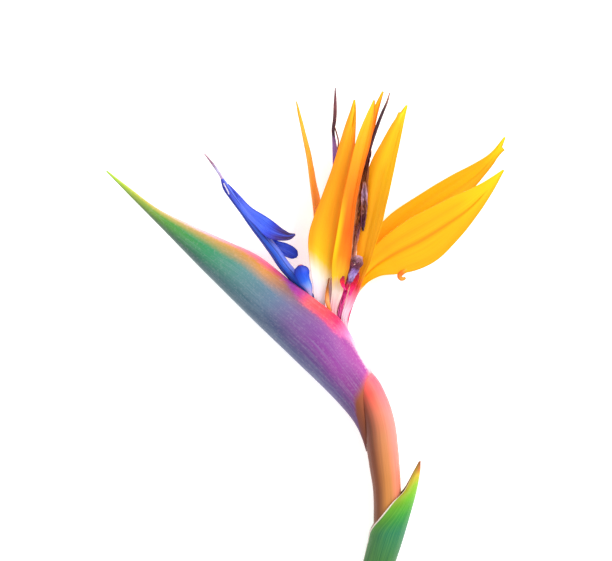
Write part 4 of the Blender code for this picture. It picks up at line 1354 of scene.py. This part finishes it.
def makeSmallPieces():
    purple = driedSkin("purpleArrowSkin", [
        (0.0, "ffecf0"), (0.22, "fce2e6"), (0.4, "966eb4"), (0.8, "7846aa"), (0.93, "966ebe"),
        (1.0, "3c103c")], 4.0, 0.5, "32145a", 0.5)
    keep(grow("purpleArrow", curveObject("purpleLine", smallPieces["purpleArrow"]), ribbedStem,
        sides=40, ribs=5.0, ribDepth=0.0004, ribSharpness=5.0, roughness=0.0003,
        grain=500.0, material=purple), "purple_petal", "arrow_3")
    keep(grow("backThread", curveObject("threadLine", smallPieces["thread"]), ribbedStem,
        sides=12, roughness=0.0002, grain=900.0, material=driedSkin("threadSkin", [
            (0.0, "96603c"), (1.0, "6e3c32")])), "style")
    hood = bladeSkin("hoodSkin", [
        (0.1, "cebefa"), (0.3, "82aaff"), (0.5, "2868f0"), (0.75, "0646dc"),
        (0.97, "1428a0"), (1.0, "e67828")], 8.0, "0a1e8c")
    keep(grow("hoodPetal", bladeGrid("hood", smallPieces["hood"], steps=20, columns=30), petalFlesh,
        thickness=0.0009, thinMargin=0.8, veins=5.0, veinHeight=0.00004, wave=0.0003,
        waves=2.0, crumple=0.0001, crumpleSize=300.0, seed=4.0, material=hood),
        "blue_petal", "hood_1")
    bract = bladeSkin("bractSkin", [
        (0.0, "ff7828"), (0.25, "ffa046"), (0.45, "fab06e"), (0.6, "e28c32"),
        (0.8, "8c4614"), (1.0, "6e381e")], 6.0, "dc741e", 0.6)
    keep(grow("dryBract", bladeGrid("bract", smallPieces["bract"], steps=16, columns=16), petalFlesh,
        thickness=0.0005, thinMargin=0.5, veins=4.0, veinHeight=0.00003, wave=0.0005,
        waves=5.0, crumple=0.00015, crumpleSize=700.0, material=bract), "bracteole", "bracteole")


makeSmallPieces()
print("small pieces made")


# inside the spathe

inside = {
    # x, y, height, radius
    "ovary_1": [(15.5, 18.4, 0, 1.1), (11.7, 23.5, 0, 1.8), (9, 32, 0, 2.5), (7, 41.6, 0, 2.7)],
    "ovary_2": [(23.1, 17.7, 0, 1.1), (21.4, 22, 0, 1.7), (19.6, 28.5, 0, 2), (18.8, 34.2, 0, 2.2)],
    "ovary_3": [(19.2, 19.1, 0, 1), (16.8, 23.5, 0, 1.6), (14.2, 30.5, 0, 2.1), (13.4, 37.2, 0, 2.4)],
    "bud_1": [
        (14.4, 16, 0, 1.1), (6, 21.6, 0, 2.2), (-6, 31.4, 0, 3.4), (-18, 43, 0, 3),
        (-33, 59.5, 0, 0.6),
    ],
    "bud_2": [(13.4, 12.8, 0, 1), (7, 15.2, 0, 1.6), (-4, 22, 0, 2), (-15, 31.6, 0, 0.6)],
}


def makeInside():
    cream = driedSkin("ovarySkin", [(0.0, "e2d6a0"), (0.6, "f4cec8"), (1.0, "ffb0c8")],
                      8.0, 0.4, "ce9696", 0.4)
    orange = driedSkin("budSkin", [(0.0, "e2e2b0"), (0.4, "f0ce78"), (0.8, "faaa3c"),
                                   (1.0, "cebe46")], 8.0, 0.4, "ce823c", 0.4)
    for name, rows in inside.items():
        ovary = name.startswith("ovary")
        piece = grow(plainName(name), curveObject(name + "Line", rows, 14), ribbedStem,
            sides=40, ribs=3.0, ribDepth=0.00035, ribSharpness=4.0, roughness=0.0002,
            grain=400.0, material=cream if ovary else orange)
        keep(piece, "ovary" if ovary else "bud", name)


makeInside()
print("inside made")


# the table, the lights and the camera

studio = {
    "floorSize": 6.0,
    "cameraHeight": 1.275,  # above the flower's middle plane
    "cameraPlace": (-0.00021, 0.05493),
    "lens": 150.0,
    "tableBelow": 0.0002,
    "world": 0.74,
    "aim": (0.0, 0.05, 0.0),
    # place, size and power
    "lights": {"rightSoftbox": ((0.9, 0.55, 0.9), 1.1, 15.0), "leftFill": ((-1.1, 0.1, 1.1), 1.2, 3.0)},
}


def makeFloor():
    bm = bmesh.new()
    bmesh.ops.create_grid(bm, x_segments=1, y_segments=1, size=studio["floorSize"] / 2)
    mesh = bpy.data.meshes.new("table")
    bm.to_mesh(mesh)
    bm.free()
    table = intoScene("table", mesh)
    table.location = (0.0, 0.0, -studio["tableBelow"])
    shader = newFinish("tablePaper")
    shader.inputs["Base Color"].default_value = (0.93, 0.93, 0.93, 1.0)
    shader.inputs["Roughness"].default_value = 0.9
    shader.inputs["Specular IOR Level"].default_value = 0.1
    shader.inputs["Emission Color"].default_value = (1.0, 1.0, 1.0, 1.0)
    shader.inputs["Emission Strength"].default_value = 0.5
    table.data.materials.append(inHand["material"])


def softLight(name, place, size, power):
    light = bpy.data.lights.new(name, "AREA")
    light.shape = "DISK"
    light.size = size
    light.energy = power
    item = intoScene(name, light)
    item.location = place
    aim = Vector(studio["aim"]) - Vector(place)
    item.rotation_euler = aim.to_track_quat("-Z", "Y").to_euler()


def makeStudio():
    makeFloor()
    world = bpy.data.worlds.new("studio")
    bpy.context.scene.world = world
    world.use_nodes = True
    background = world.node_tree.nodes["Background"]
    background.inputs[0].default_value = (1.0, 1.0, 1.0, 1.0)
    background.inputs[1].default_value = studio["world"]
    for name, (place, size, power) in studio["lights"].items():
        softLight(name, place, size, power)
    camera = bpy.data.cameras.new("camera")
    camera.lens = studio["lens"]
    camera.sensor_width = 36.0
    camera.clip_start = 0.01
    item = intoScene("camera", camera)
    item.location = (*studio["cameraPlace"], flower["middle"] * mm + studio["cameraHeight"])
    bpy.context.scene.camera = item
    view = bpy.context.scene.view_settings
    view.view_transform = "Standard"
    view.look = "None"


makeStudio()
print("studio made")
